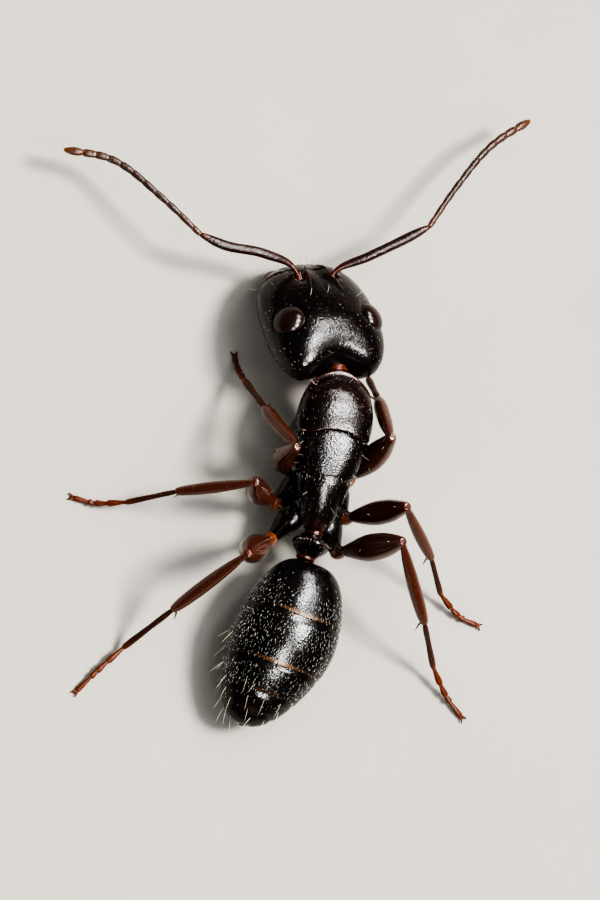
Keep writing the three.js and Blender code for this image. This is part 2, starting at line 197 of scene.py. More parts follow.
def turned(yaw=0, pitch=0, roll=0):
    """The matrix that rolls about Y, then pitches about X, then yaws about Z, in degrees."""
    cy, sy = math.cos(yaw * DEGREE), math.sin(yaw * DEGREE)
    cp, sp = math.cos(pitch * DEGREE), math.sin(pitch * DEGREE)
    cr, sr = math.cos(roll * DEGREE), math.sin(roll * DEGREE)
    about_z = np.array([[cy, -sy, 0], [sy, cy, 0], [0, 0, 1]])
    about_x = np.array([[1, 0, 0], [0, cp, -sp], [0, sp, cp]])
    about_y = np.array([[cr, 0, sr], [0, 1, 0], [-sr, 0, cr]])
    return about_z @ about_x @ about_y


def placed(points, setting):
    """Points of a part, turned and set in ant coordinates."""
    turn = turned(setting["yaw"], setting["pitch"], setting["roll"])
    return points @ turn.T + np.array(setting["at"])


def closing(share, power):
    """How far a section has opened: 0 at both ends and 1 halfway, a power of the sine."""
    return (2 * np.sqrt(share * (1 - share))) ** power


def egg(
    length, half, rise, fall, line=level(0), sway=level(0), blunt=(0.5, 0.5), square=level(1),
    dent=0, start=0,
):
    """An egg-shaped body along +Y, as a function of station t and turn round it.

    x = sway + half * cos(turn), z = line + rise or fall * sin(turn), both closed at the two
    ends by the blunt powers, y = start + t * length. A square below 1 is the power of cosine
    and sine that makes the section boxier. The dent draws the middle of the rear end forward,
    by the sixth power of t and the cube of a cosine that falls to 0 at the sides."""

    def body(t, turn):
        t, turn = np.broadcast_arrays(np.clip(t, 0, 1), turn)
        power = blunt[0] + (blunt[1] - blunt[0]) * t
        close = closing(t, power)
        across = np.sign(np.cos(turn)) * np.abs(np.cos(turn)) ** square(t)
        up = np.sign(np.sin(turn)) * np.abs(np.sin(turn)) ** square(t)
        height = np.where(up > 0, rise(t), fall(t))
        x = sway(t) + across * half(t) * close
        y = start + t * length - dent * t**6 * np.cos(math.pi / 2 * across * close) ** 3
        z = line(t) + up * height * close
        return np.stack([x, y, z], axis=-1)

    return body


def limb(path, wide, deep=None, plane=UP, blunt=0.35):
    """A limb along a path, as a function of share s and turn round it.

    Its section is an ellipse, wide across the plane that holds the limb and the plane
    direction, and deep within it. Both close at the ends by the blunt power."""
    deep = deep or wide

    def skin(s, turn):
        s, turn = np.broadcast_arrays(np.clip(s, 0, 1), turn)
        step = 0.004
        along = unit(path(s + step) - path(s - step))
        across = unit(np.cross(along, plane))
        up = np.cross(across, along)
        close = closing(s, blunt)
        middle = path(s)
        middle = middle + across * (np.cos(turn) * wide(s) * close)[..., None]
        return middle + up * (np.sin(turn) * deep(s) * close)[..., None]

    return skin


def straight(start, end, bow=0.0, towards=UP):
    """The path from start to end, bowed at its middle by half a sine wave."""
    start, end = np.array(start, dtype=float), np.array(end, dtype=float)

    def path(s):
        s = np.asarray(s, dtype=float)[..., None]
        return start + (end - start) * s + bow * np.sin(math.pi * s) * np.array(towards)

    return path


def stretch_of(path, low, high, overlap):
    """The stretch of a path between two shares, carried past both its ends by overlap."""
    return lambda s: path(low + (high - low) * (s * (1 + 2 * overlap) - overlap))


def stations(rows):
    """Shares from 0 to 1 that crowd towards both ends, as the sine closing needs."""
    return (1 - np.cos(np.linspace(0, math.pi, rows))) / 2


def turns(columns):
    """Turns round a closed section."""
    return np.linspace(0, FULL_TURN, columns, endpoint=False)


def grid_of(skin, grid):
    """A closed grid of points on a skin, from pole to pole."""
    rows, columns = grid
    return skin(stations(rows)[:, None], turns(columns)[None])


def shares_of(grid):
    """The share along the piece of every point of a grid."""
    rows, columns = grid
    return np.tile(stations(rows)[:, None], (1, columns))


def raised(points, height, middle=None):
    """A grid with each point moved out along its normal by height.

    A normal is the cross product of the directions along and round the grid, turned away
    from the middle, which is the grid's own unless another is given."""
    around = np.roll(points, -1, axis=1) - np.roll(points, 1, axis=1)
    normals = unit(np.cross(np.gradient(points, axis=0), around))
    if middle is None:
        middle = points.mean(axis=(0, 1))
    facing = np.sign(np.sum((points - middle) * normals, axis=-1).mean())
    return points + normals * facing * height[..., None]


# ---------------------------------------------------------------- meshes

def corner_places(*corners):
    """The unwrap of faces whose corners are given in turn, each as its u and its v."""
    places = np.broadcast_arrays(*[value for corner in corners for value in corner])
    return np.stack(places, axis=-1).reshape(*places[0].shape, len(corners), 2)


def mesh_arrays(points, first):
    """Vertices, faces and unwrap of one closed grid.

    Quads join the rows, columns wrap, and the first and last rows are drawn to one pole each.
    Faces are turned over if the volume they hold comes out negative."""
    inner = points[1:-1]
    rows, columns = inner.shape[:2]
    vertices = np.concatenate([inner.reshape(-1, 3), points[0, :1], points[-1, :1]])
    row = np.arange(rows - 1)[:, None]
    column = np.arange(columns)[None]
    after = (column + 1) % columns
    here, beyond = row * columns, (row + 1) * columns
    quads = np.stack([here + column, here + after, beyond + after, beyond + column], axis=-1).reshape(-1, 4)
    base = (rows - 1) * columns
    low = np.stack([np.full(columns, rows * columns), after[0], column[0]], axis=-1)
    high = np.stack([np.full(columns, rows * columns + 1), base + column[0], base + after[0]], axis=-1)
    fans = np.concatenate([low, high])
    v_row = (np.arange(rows) + 1) / (rows + 1)
    u, u_next = column[0] / columns, (column[0] + 1) / columns
    low_v, high_v = v_row[:-1, None], v_row[1:, None]
    quad_uv = corner_places((u, low_v), (u_next, low_v), (u_next, high_v), (u, high_v)).reshape(-1, 4, 2)
    middle_u = (u + u_next) / 2
    fan_uv = np.concatenate([
        corner_places((middle_u, 0), (u_next, v_row[0]), (u, v_row[0])),
        corner_places((middle_u, 1), (u, v_row[-1]), (u_next, v_row[-1])),
    ])
    corners = (vertices - vertices.mean(axis=0))[quads]
    volume = np.sum(corners[:, 0] * np.cross(corners[:, 1], corners[:, 2]))
    volume += np.sum(corners[:, 0] * np.cross(corners[:, 2], corners[:, 3]))
    if volume < 0:
        quads, quad_uv, fans, fan_uv = (faces[:, ::-1] for faces in (quads, quad_uv, fans, fan_uv))
    loops = np.concatenate([quads.ravel(), fans.ravel()]) + first
    sizes = np.concatenate([np.full(len(quads), 4), np.full(len(fans), 3)])
    uv = np.concatenate([quad_uv.reshape(-1, 2), fan_uv.reshape(-1, 2)])
    return vertices, loops, sizes, uv


def new_mesh(name, vertices, loops, sizes, uv, uv_name, tint=None):
    """A smooth mesh object from arrays in ant millimetres, at the origin of the frame."""
    mesh = bpy.data.meshes.new(name)
    mesh.vertices.add(len(vertices))
    mesh.vertices.foreach_set("co", ((vertices - MIDDLE) * MM).astype(np.float32).ravel())
    mesh.loops.add(len(loops))
    mesh.loops.foreach_set("vertex_index", loops.astype(np.int32))
    mesh.polygons.add(len(sizes))
    starts = np.concatenate([[0], np.cumsum(sizes)[:-1]])
    mesh.polygons.foreach_set("loop_start", starts.astype(np.int32))
    mesh.update(calc_edges=True)
    layer = mesh.uv_layers.new(name=uv_name)
    layer.uv.foreach_set("vector", uv.astype(np.float32).ravel())
    if tint is not None:
        attribute = mesh.attributes.new("tint", "FLOAT", "POINT")
        attribute.data.foreach_set("value", tint.astype(np.float32))
    mesh.validate()
    mesh.shade_smooth()
    piece = bpy.data.objects.new(name, mesh)
    bpy.context.scene.collection.objects.link(piece)
    return piece


def plate(name, grids, material, nodes, tints=None):
    """One piece made of closed grids, which rides with the model and stands for CAD nodes."""
    tints = tints or [np.zeros(points.shape[:2]) for points in grids]
    shells = []
    first = 0
    for points in grids:
        shells.append(mesh_arrays(points, first))
        first += len(shells[-1][0])
    values = [part for tint in tints for part in (tint[1:-1].ravel(), tint[0, :1], tint[-1, :1])]
    piece = new_mesh(name, *map(np.concatenate, zip(*shells)), "UVMap", np.concatenate(values))
    piece.data.materials.append(material)
    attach(piece, "root")
    if nodes:
        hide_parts(*nodes)
    return piece


# ---------------------------------------------------------------- hairs

def lattice(rows, length, girth, spacing, seed, jitter=0.7):
    """Even but unruly roots on a skin: shares t and turns, as two flat arrays.

    Rows lie evenly between the first and last share. Each row holds as many roots as its
    girth has room for, shifted by a random start, and each root strays a little."""
    random = np.random.default_rng(seed)
    low, high = rows
    count = max(2, int((high - low) * length / spacing))
    shares = low + (high - low) * (np.arange(count) + 0.5) / count
    per_row = np.maximum(3, (girth(shares) / spacing).astype(int))
    row = np.repeat(np.arange(count), per_row)
    place = np.arange(len(row)) - np.repeat(np.cumsum(per_row) - per_row, per_row)
    start = random.random(count)[row]
    stray = (random.random((2, len(row))) - 0.5) * jitter
    t = shares[row] + stray[0] * (high - low) / count
    turn = (place + start + stray[1]) / per_row[row] * FULL_TURN
    return t, turn % FULL_TURN


def hairs(skin, roots, length, thick, tilt, seed, tile=(0, 1), droop=0.35, spread=0.25):
    """Hairs rooted on a skin, each given by its root, its two directions, sizes and unwrap.

    A hair starts tilt degrees up from the skin, leaning back along it and a little to either
    side, and bends further back by droop of its length. Its place on the unwrap is its turn
    and its share, the share squeezed into the tile of its own skin."""
    t, turn = roots
    random = np.random.default_rng(seed)
    step = 0.003
    root = skin(t, turn)
    back = unit(skin(t + step, turn) - skin(t - step, turn))
    around = unit(skin(t, turn + step) - skin(t, turn - step))
    normal = unit(np.cross(back, around))
    angle = (tilt * (1 + 0.3 * (random.random(len(t)) - 0.5)) * DEGREE)[:, None]
    side = (spread * (random.random(len(t)) - 0.5) * 2)[:, None]
    way = unit(back * np.cos(angle) + normal * np.sin(angle) + around * side)
    number, count = tile
    unwrap = np.stack([turn / FULL_TURN, (number + np.clip(t, 0, 1)) / count], axis=-1)
    size = length * (0.75 + 0.5 * random.random(len(t)))
    bend = back * droop - normal * droop * 0.5
    return root - normal * HAIR_SINK, way, bend, size, np.full(len(t), thick), unwrap


def hair_piece(name, batches, material):
    """One piece of many hairs, each a tapering three-sided rod of three rings and a tip.

    The middle line is root + length * (way * s + bend * s^2). The radius falls from thick at
    the root to nothing at the tip. Each hair is a small patch at its root on the unwrap. A
    hair whose tip would touch the floor is left out."""
    every = [np.concatenate(values) for values in zip(*batches)]
    root, way, bend, length = every[:4]
    clear = (root + length[:, None] * (way + bend))[:, 2] > FLOOR_GAP
    root, way, bend, length, thick, unwrap = (values[clear] for values in every)
    count = len(root)
    share = np.array([0, 0.35, 0.7])
    radius = np.array([1.0, 0.82, 0.5])
    across = unit(np.cross(way, unit(way + np.array([0.31, 0.17, 0.93]))))
    over = np.cross(way, across)
    corner = FULL_TURN * np.arange(3) / 3
    line = root[:, None] + length[:, None, None] * (
        way[:, None] * share[None, :, None] + bend[:, None] * (share**2)[None, :, None]
    )
    rim = across[:, None] * np.cos(corner)[None, :, None] + over[:, None] * np.sin(corner)[None, :, None]
    width = thick[:, None] * radius[None]
    rings = line[:, :, None] + rim[:, None] * width[:, :, None, None]
    tip = root + length[:, None] * (way + bend)
    vertices = np.concatenate([rings.reshape(count, 9, 3), tip[:, None]], axis=1)
    edges = [(c, (c + 1) % 3) for c in range(3)]
    quads = [(k + c, k + after, k + 3 + after, k + 3 + c) for k in (0, 3) for c, after in edges]
    caps = [(2, 1, 0)] + [(6 + c, 6 + after, 9) for c, after in edges]
    rod = np.concatenate([np.array(quads).ravel(), np.array(caps).ravel()])
    loops = (np.arange(count)[:, None] * 10 + rod[None]).ravel()
    sizes = np.tile(np.array([4] * len(quads) + [3] * len(caps)), count)
    local = np.array([(c / 2, k / 3) for k in range(3) for c in range(3)] + [(0.5, 1)]) - 0.5
    uv = unwrap[:, None] + HAIR_PATCH * local[rod][None]
    piece = new_mesh(name, vertices.reshape(-1, 3), loops, sizes, uv.reshape(-1, 2), "OFBake")
    piece.data.materials.append(material)
    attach(piece, "root")
    return piece


# ---------------------------------------------------------------- finishes

CUTICLE_IOR = 1.62  # how strongly cuticle and hairs bend light


def finish(name, colour, roughness):
    """A new material with its plain colour and roughness, and its shader's inputs."""
    material = bpy.data.materials.new(name)
    material.use_nodes = True
    inputs = material.node_tree.nodes["Principled BSDF"].inputs
    inputs["Base Color"].default_value = (*colour, 1)
    inputs["Roughness"].default_value = roughness
    inputs["IOR"].default_value = CUTICLE_IOR
    return material, inputs


def link(material, source, target):
    """Joins an output of the material's nodes to an input."""
    material.node_tree.links.new(source, target)


def pattern(material, kind, cell, **settings):
    """A Noise or Voronoi texture in object space whose cells are cell millimetres wide."""
    nodes = material.node_tree.nodes
    place = nodes.get("Place") or nodes.new("ShaderNodeTexCoord")
    place.name = "Place"
    texture = nodes.new("ShaderNodeTex" + kind)
    texture.inputs["Scale"].default_value = 1 / (cell * MM)
    for key, value in settings.items():
        if key in texture.inputs:
            texture.inputs[key].default_value = value
        else:
            setattr(texture, key, value)
    link(material, place.outputs["Object"], texture.inputs["Vector"])
    return texture


def ramp(material, source, *stops):
    """A colour ramp over source, from (position, colour) stops."""
    node = material.node_tree.nodes.new("ShaderNodeValToRGB")
    while len(node.color_ramp.elements) < len(stops):
        node.color_ramp.elements.new(0.5)
    for element, (position, colour) in zip(node.color_ramp.elements, stops):
        element.position = position
        element.color = (*colour, 1) if len(colour) == 3 else colour
    link(material, source, node.inputs["Fac"])
    return node.outputs["Color"]


def grey(value):
    """A colour without hue, for a ramp that gives a roughness."""
    return (value, value, value)


def shaded(colour, factor):
    """A colour made lighter or darker."""
    return tuple(channel * factor for channel in colour)


def grain(material, layers):
    """Fine relief: each layer is a texture output with its depth in millimetres."""
    normal = None
    for height, depth in layers:
        bump = material.node_tree.nodes.new("ShaderNodeBump")
        bump.inputs["Distance"].default_value = depth * MM
        link(material, height, bump.inputs["Height"])
        if normal:
            link(material, normal, bump.inputs["Normal"])
        normal = bump.outputs["Normal"]
    link(material, normal, material.node_tree.nodes["Principled BSDF"].inputs["Normal"])


def tinted(material, inputs, base, other):
    """Colours the piece by base where its own tint attribute is 0, and by other where it is 1."""
    tint = material.node_tree.nodes.new("ShaderNodeAttribute")
    tint.attribute_name = "tint"
    mix = material.node_tree.nodes.new("ShaderNodeMix")
    mix.data_type = "RGBA"
    link(material, tint.outputs["Fac"], mix.inputs["Factor"])
    link(material, base, mix.inputs["A"])
    mix.inputs["B"].default_value = (*other, 1)
    link(material, mix.outputs["Result"], inputs["Base Color"])


def shell_finish(
    name, plain, other, low=0.15, high=0.27, cell=0.038, depth=0.004, mottle=0.08, shine=0.3,
):
    """Polished cuticle with a net of tiny cells, which shades from plain to other by tint.

    Its roughness wanders between low and high, and the plain colour holds some of the other
    one in clouds, as much as mottle says."""
    material, inputs = finish(name, plain, low)
    inputs["Specular IOR Level"].default_value = shine
    net = pattern(material, "Voronoi", cell, feature="SMOOTH_F1", Smoothness=0.6)
    ripple = pattern(material, "Noise", cell * 2.6, Detail=3, Roughness=0.6)
    cloud = pattern(material, "Noise", 0.5, Detail=4, Roughness=0.6)
    grain(material, ((net.outputs["Distance"], depth), (ripple.outputs["Fac"], depth * 1.6)))
    soft = ramp(material, ripple.outputs["Fac"], (0.35, grey(low)), (0.7, grey(high)))
    link(material, soft, inputs["Roughness"])
    middle = tuple(p * (1 - mottle) + o * mottle for p, o in zip(plain, other))
    tinted(material, inputs, ramp(material, cloud.outputs["Fac"], (0.3, plain), (0.75, middle)), other)
    return material


def eye_finish(colours):
    """Lenses with a clear gloss, in a net of dark seams."""
    material, inputs = finish("eye lenses", colours.eye, 0.22)
    inputs["Specular IOR Level"].default_value = 0.35
    cloud = pattern(material, "Noise", 0.12, Detail=3)
    base = ramp(material, cloud.outputs["Fac"], (0.3, colours.eye), (0.8, shaded(colours.eye, 1.7)))
    tinted(material, inputs, base, shaded(colours.eye, 0.35))
    return material


def hair_finish(name, colour):
    """Hair with a soft sheen, a little uneven from one to the next."""
    material, inputs = finish(name, colour, 0.32)
    cloud = pattern(material, "Noise", 0.2, Detail=2)
    base = ramp(material, cloud.outputs["Fac"], (0.3, shaded(colour, 0.8)), (0.7, colour))
    link(material, base, inputs["Base Color"])
    inputs["Sheen Weight"].default_value = 0.3
    return material


def floor_finish(colours):
    """Smooth matt card with faint clouds."""
    material, inputs = finish("pale card", colours.floor, 0.75)
    cloud = pattern(material, "Noise", 6, Detail=5, Roughness=0.6)
    fibre = pattern(material, "Noise", 0.25, Detail=3)
    base = ramp(material, cloud.outputs["Fac"], (0.3, shaded(colours.floor, 0.93)), (0.7, colours.floor))
    link(material, base, inputs["Base Color"])
    grain(material, ((fibre.outputs["Fac"], 0.01),))
    return material


def black_shell(colours):
    """The black cuticle of head, trunk, waist and hips, made once."""
    made = bpy.data.materials.get("black shell")
    return made or shell_finish("black shell", colours.shell, colours.rust)


# ---------------------------------------------------------------- head

def head_body(sizes):
    """The head capsule as an egg, mouth towards -Y and crown up, without its relief."""
    half = sizes.head_width / MM / 2
    length = sizes.head_length / MM
    return egg(
        length + 0.05,
        half=smooth((0, half - 0.22), (0.2, half - 0.06), (0.5, half), (0.8, half), (1, half - 0.06)),
        rise=smooth((0, 0.56), (0.12, 0.73), (0.28, 0.82), (0.5, 0.87), (0.75, 0.84), (1, 0.6)),
        fall=smooth((0, 0.4), (0.3, 0.62), (0.6, 0.76), (1, 0.7)),
        blunt=(0.36, 0.35),
        square=smooth((0, 0.95), (0.5, 0.93), (0.85, 0.84), (1, 0.84)),
        dent=0.36,
        start=-length / 2,
    )


def carina_line(y):
    """How far from the middle each frontal ridge runs: an S that spreads backwards."""
    return 0.13 + 0.15 * ease(y, -1.3, -0.88) + 0.12 * ease(y, -0.8, -0.25)


def head_relief(points, sizes):
    """Height added to the capsule at each point, as a sum of ridges, pits and grooves.

    Two S-shaped ridges between the feelers, a pit round each socket, the raised shield over
    the mouth with the seam behind it, a fine line down the brow, a seat round each eye, a
    beaded front edge to each cheek, and the long seam under the head."""
    x, y, z = points[..., 0], points[..., 1], points[..., 2]
    side = np.abs(x)
    top = ease(z, 0.05, 0.3)
    window = ease(y, -1.3, -1.1) * (1 - ease(y, -0.55, -0.2))
    height = 0.055 * bell(side - carina_line(y), 0.035) * window * top
    lobe = 0.07 * bell(side - carina_line(y) + 0.05, 0.11) * bell(y + 0.86, 0.26) * top
    pit = np.hypot((side - SOCKET[0] - 0.05) / 0.13, (y - SOCKET[1]) / 0.17)
    height += lobe - 0.1 * bell(pit, 0.85) * top
    edge = -1.02 + 0.3 * side**2 - 0.25 * ease(side, 0.3, 0.62)
    shield = (1 - ease(y, edge - 0.03, edge + 0.03)) * (1 - ease(side, 0.56, 0.66)) * top
    height += 0.018 * shield
    height -= 0.005 * bell(y - edge, 0.03) * (1 - ease(side, 0.6, 0.7)) * top
    height -= 0.012 * bell(x, 0.018) * ease(y, -1.0, -0.8) * (1 - ease(y, -0.3, 0.1)) * top
    across = np.hypot(side - EYE_AT[0], z - EYE_AT[2]) / (sizes.eye_width / MM / 2)
    seat = np.hypot(across, (y - EYE_AT[1]) / (sizes.eye_length / MM / 2))
    height -= 0.012 * bell(seat - 1.08, 0.06)
    front = -1.22 + 0.25 * (side - 0.85) ** 2
    cheek = ease(side, 0.6, 0.72) * ease(z, -0.35, -0.1)
    height += (0.02 * bell(y - front, 0.05) - 0.012 * bell(y - front - 0.09, 0.04)) * cheek
    height -= 0.02 * bell(x, 0.02) * ease(y, -0.9, -0.6) * ease(-z, 0.2, 0.4)
    return height


def build_head(sizes, colours):
    """The head capsule with its relief, redder round the sockets and on the cheeks."""
    local = grid_of(head_body(sizes), HEAD_GRID)
    local = raised(local, head_relief(local, sizes))
    side, y, z = np.abs(local[..., 0]), local[..., 1], local[..., 2]
    near_socket = np.hypot((side - SOCKET[0]) / 0.2, (y - SOCKET[1]) / 0.18)
    cheek = (1 - ease(y, -1.5, -0.7)) * ease(side, 0.5, 1.0)
    tint = 0.55 * bell(near_socket, 0.7) * (z > 0) + 0.16 * cheek
    plate("head_capsule", [placed(local, HEAD_SET)], black_shell(colours), ("head",), [tint])


def eye_grid(side, sizes):
    """One eye: an ellipsoid whose outer face carries a hexagonal net of small lenses.

    Points are an angle from the outer axis and a turn about it. Three sets of waves 60
    degrees apart, measured along the face, add up to the lenses. Their sum runs from -1.5
    in the seams to 3 on the lenses."""
    length, width = sizes.eye_length / MM / 2, sizes.eye_width / MM / 2
    face = np.linspace(0, EYE_BACK, EYE_ROWS[0])
    back = np.linspace(EYE_BACK, math.pi, EYE_ROWS[1])[1:]
    angle = np.concatenate([face, back])[:, None]
    turn = turns(EYE_COLUMNS)[None]
    flat = angle * (length + width) / 2
    wave = FULL_TURN / (FACET * math.sqrt(3) / 2)
    lens = sum(np.cos(wave * flat * np.cos(turn + way)) for way in (0, math.pi / 3, -math.pi / 3))
    lens = (lens + 1.5) / 4.5 * (1 - ease(angle, 1.35, 1.6))
    bulge = 1 + FACET_BULGE * lens
    out = np.cos(angle) * EYE_DEPTH * bulge + 0 * turn
    along = np.sin(angle) * np.cos(turn) * length * bulge
    over = np.sin(angle) * np.sin(turn) * width * bulge
    points = np.stack([side * out, along, over], axis=-1)
    tilt = turned(roll=-side * EYE_TILT)
    points = points @ tilt.T + EYE_AT * np.array([side, 1, 1])
    return placed(points, HEAD_SET), 1 - lens


def build_eyes(sizes, colours):
    """Both eyes, each with many hundred lenses."""
    material = eye_finish(colours)
    for name, side in SIDES.items():
        points, tint = eye_grid(side, sizes)
        plate(f"eye_lenses_{name}", [points], material, (f"eye_{name}",), [0.8 * tint])


def mandible_grid(side):
    """One jaw: a blade from its hinge to its tip, arched down, with five teeth inside.

    The middle line is a curve in plan. The outer side swells smoothly, and the inner side
    carries a saw of teeth over the far half."""
    line = smooth(
        (0, (0.72, -1.1, -0.22)), (0.35, (0.64, -1.42, -0.28)),
        (0.7, (0.4, -1.68, -0.32)), (1, (0.08, -1.82, -0.34)),
    )
    wide = smooth((0, 0.2), (0.3, 0.22), (0.6, 0.24), (0.85, 0.16), (1, 0.07))
    deep = smooth((0, 0.2), (0.4, 0.16), (0.8, 0.09), (1, 0.05))
    points = grid_of(limb(line, wide, deep, blunt=0.4), JAW_GRID)
    s, turn = stations(JAW_GRID[0])[:, None], turns(JAW_GRID[1])[None]
    middle = line(s[:, 0])[:, None]
    inner = np.clip(np.cos(turn), 0, 1) ** 3
    saw = np.abs(((s - 0.45) * 11) % 1 - 0.5) * 2
    tooth = 1 + 0.75 * inner * saw * ease(s, 0.42, 0.5) * (1 - ease(s, 0.93, 1.0))
    points = middle + (points - middle) * tooth[..., None]
    return placed(points * np.array([side, 1, 1]), HEAD_SET)


def palp_grid(side, root, reach):
    """One of the small feelers under the mouth: a jointed rod that curls down and back."""
    bends = np.array([
        (0, 0, 0), (0.1, -0.1, -0.22), (0.16, 0.04, -0.33), (0.17, 0.24, -0.36), (0.12, 0.42, -0.34),
    ])
    points = placed((np.array(root) + reach * bends) * np.array([side, 1, 1]), HEAD_SET)
    path = smooth(*zip((0, 0.3, 0.5, 0.75, 1), points))
    swell = smooth(
        (0, 0.04), (0.28, 0.05), (0.34, 0.034), (0.5, 0.046), (0.56, 0.03), (0.8, 0.04), (1, 0.03),
    )
    return grid_of(limb(path, swell, blunt=0.2), PALP_GRID)


def build_mouth(colours):
    """The jaws, the upper lip between them and two pairs of small feelers under the mouth."""
    material = shell_finish("jaw shell", colours.jaw, colours.rust, cell=0.05, depth=0.001)
    for name, side in SIDES.items():
        tint = 0.7 * ease(shares_of(JAW_GRID), 0.5, 0.95)
        plate(f"jaw_{name}", [mandible_grid(side)], material, (f"mandible_{name}",), [tint])
    lip = egg(0.4, half=level(0.34), rise=level(0.08), fall=level(0.14), blunt=(0.6, 0.5), start=-1.56)
    grids = [placed(grid_of(lip, LIP_GRID) + np.array([0, 0, -0.02]), HEAD_SET)]
    for side in SIDES.values():
        grids.append(palp_grid(side, (0.24, -0.86, -0.34), 1.0))
        grids.append(palp_grid(side, (0.1, -0.9, -0.36), 0.7))
    plate("mouth_parts", grids, material, (), [np.full(grid.shape[:2], 0.6) for grid in grids])


# ---------------------------------------------------------------- feelers

def feeler_joints(name):
    """Socket, elbow and the ends of the three lengths of the whip, in ant coordinates."""
    side = SIDES[name]
    points = [placed(SOCKET * np.array([side, 1, 1]), HEAD_SET)]
    for (heading, climb), length in zip(FEELER_POSE[name], FEELER_LENGTHS):
        points.append(points[-1] + length * step_towards(side, heading, climb))
    return points


def step_towards(side, heading, climb):
    """A unit step: heading degrees from straight ahead to one side, climb degrees up."""
    flat = math.cos(climb * DEGREE)
    return np.array([
        side * math.sin(heading * DEGREE) * flat,
        -math.cos(heading * DEGREE) * flat,
        math.sin(climb * DEGREE),
    ])


def scape_skin(name, sizes):
    """The long first joint: a ball in its socket, a thin bent neck, then a slowly widening rod."""
    mirror = np.array([SIDES[name], 1, 1])
    socket, elbow = feeler_joints(name)[:2]
    base_bow, third_bow = SCAPE_BEND[name]
    sink = placed((SOCKET + np.array([0.02, 0.03, -0.04])) * mirror, HEAD_SET)
    neck = placed((SOCKET + np.array([0.12, -base_bow, 0.1])) * mirror, HEAD_SET)
    third = socket + (elbow - socket) * 0.38 + np.array([0, -third_bow, 0.05])
    far = socket + (elbow - socket) * 0.76
    path = smooth((0, sink), (0.1, neck), (0.4, third), (0.75, far), (1, elbow))
    thick = sizes.scape_thickness / MM / 2
    radius = smooth(
        (0, 0.085), (0.035, 0.085), (0.07, 0.055), (0.12, 0.065), (0.24, 0.85 * thick), (0.6, thick),
        (0.86, 1.04 * thick), (1, 0.76 * thick),
    )
    return limb(path, radius, blunt=0.3)


def whip_skins(name, sizes):
    """The eleven joints of the whip, each narrow at its base and bluntly rounded at its end."""
    _, elbow, first, second, tip = feeler_joints(name)
    shares = np.cumsum([0, *FEELER_LENGTHS[1:]]) / sum(FEELER_LENGTHS[1:])
    path = smooth(*zip(shares, (elbow, first, second, tip)))
    ends = np.cumsum([0, *WHIP_JOINTS]) / sum(WHIP_JOINTS)
    thick = sizes.whip_thickness / MM / 2
    skins = []
    for number, (low, high) in enumerate(zip(ends[:-1], ends[1:])):
        last = number == len(WHIP_JOINTS) - 1
        girth = thick * (0.76 + 0.026 * number)
        shape = ((0, 0.88), (0.15, 0.9), (0.7, 1.0), (1, 0.98))
        if last:
            shape = ((0, 0.94), (0.5, 1.0), (1, 0.6))
        radius = smooth(*((share, factor * girth) for share, factor in shape))
        skins.append(limb(stretch_of(path, low, high, 0.02), radius, blunt=0.5 if last else 0.12))
    return skins


def build_feelers(sizes, colours):
    """Both feelers: the scape and the eleven-jointed whip, which stands for three solids."""
    scape_shell = shell_finish(
        "scape shell", colours.feeler, colours.rust, 0.26, 0.4, cell=0.05, depth=0.006, shine=0.24,
    )
    whip_shell = shell_finish(
        "whip shell", colours.whip, colours.feeler_tip, 0.28, 0.42, cell=0.05, depth=0.006, shine=0.35,
    )
    along, share = shares_of(SCAPE_GRID), shares_of(WHIP_GRID)
    scape_tint = 1 - ease(along, 0.02, 0.3) + 0.7 * ease(along, 0.86, 1)
    tints = [tip + 0.12 * (1 - ease(share, 0.02, 0.25)) for tip in WHIP_TINTS]
    tints[-1] = tints[-1] + 0.5 * ease(share, 0.6, 0.95)
    for name in SIDES:
        points = grid_of(scape_skin(name, sizes), SCAPE_GRID)
        plate(f"scape_rod_{name}", [points], scape_shell, (f"scape_{name}",), [scape_tint])
        grids = [grid_of(skin, WHIP_GRID) for skin in whip_skins(name, sizes)]
        nodes = tuple(f"whip_{part}_{name}" for part in ("base", "middle", "tip"))
        plate(f"whip_joints_{name}", grids, whip_shell, nodes, tints)


# ---------------------------------------------------------------- trunk

TRUNK_LENGTH = 3.7
RIM_HEIGHT = 2.17  # of the collar's rim, in trunk coordinates

trunk_body = egg(
    TRUNK_LENGTH,
    half=smooth((0, 0.5), (0.1, 0.78), (0.28, 0.91), (0.45, 0.84), (0.7, 0.64), (0.88, 0.53), (1, 0.5)),
    rise=smooth((0, 0.3), (0.15, 0.5), (0.3, 0.55), (0.55, 0.52), (0.8, 0.5), (1, 0.42)),
    fall=smooth((0, 0.25), (0.2, 0.6), (0.4, 0.78), (0.7, 0.72), (1, 0.4)),
    line=smooth((0, 1.95), (0.2, 2.08), (0.45, 2.02), (0.7, 1.84), (0.88, 1.66), (1, 1.5)),
    blunt=(0.45, 0.45),
    square=smooth((0, 0.9), (0.3, 0.84), (0.6, 0.82), (0.78, 1), (1, 1)),
    start=-TRUNK_LENGTH / 2,
)

# The rear edge of the front plate and of the middle one: y against degrees from the crown.
collar_edge = smooth(
    (0, -0.41), (15, -0.385), (32, -0.3), (55, -0.27), (78, -0.3), (110, -0.6), (180, -0.85),
)
groove_edge = smooth((0, 0.635), (60, 0.61), (100, 0.5), (180, 0.42))


def round_from_top(turn):
    """Degrees from the crown of a section, the same on both sides."""
    return np.abs(((turn / DEGREE - 90) + 180) % 360 - 180)


def trunk_share(edge, shift=0.0):
    """An edge of a trunk plate, as the share of the trunk at each turn, moved back by shift."""
    return lambda turn: (edge(round_from_top(turn)) + shift + TRUNK_LENGTH / 2) / TRUNK_LENGTH


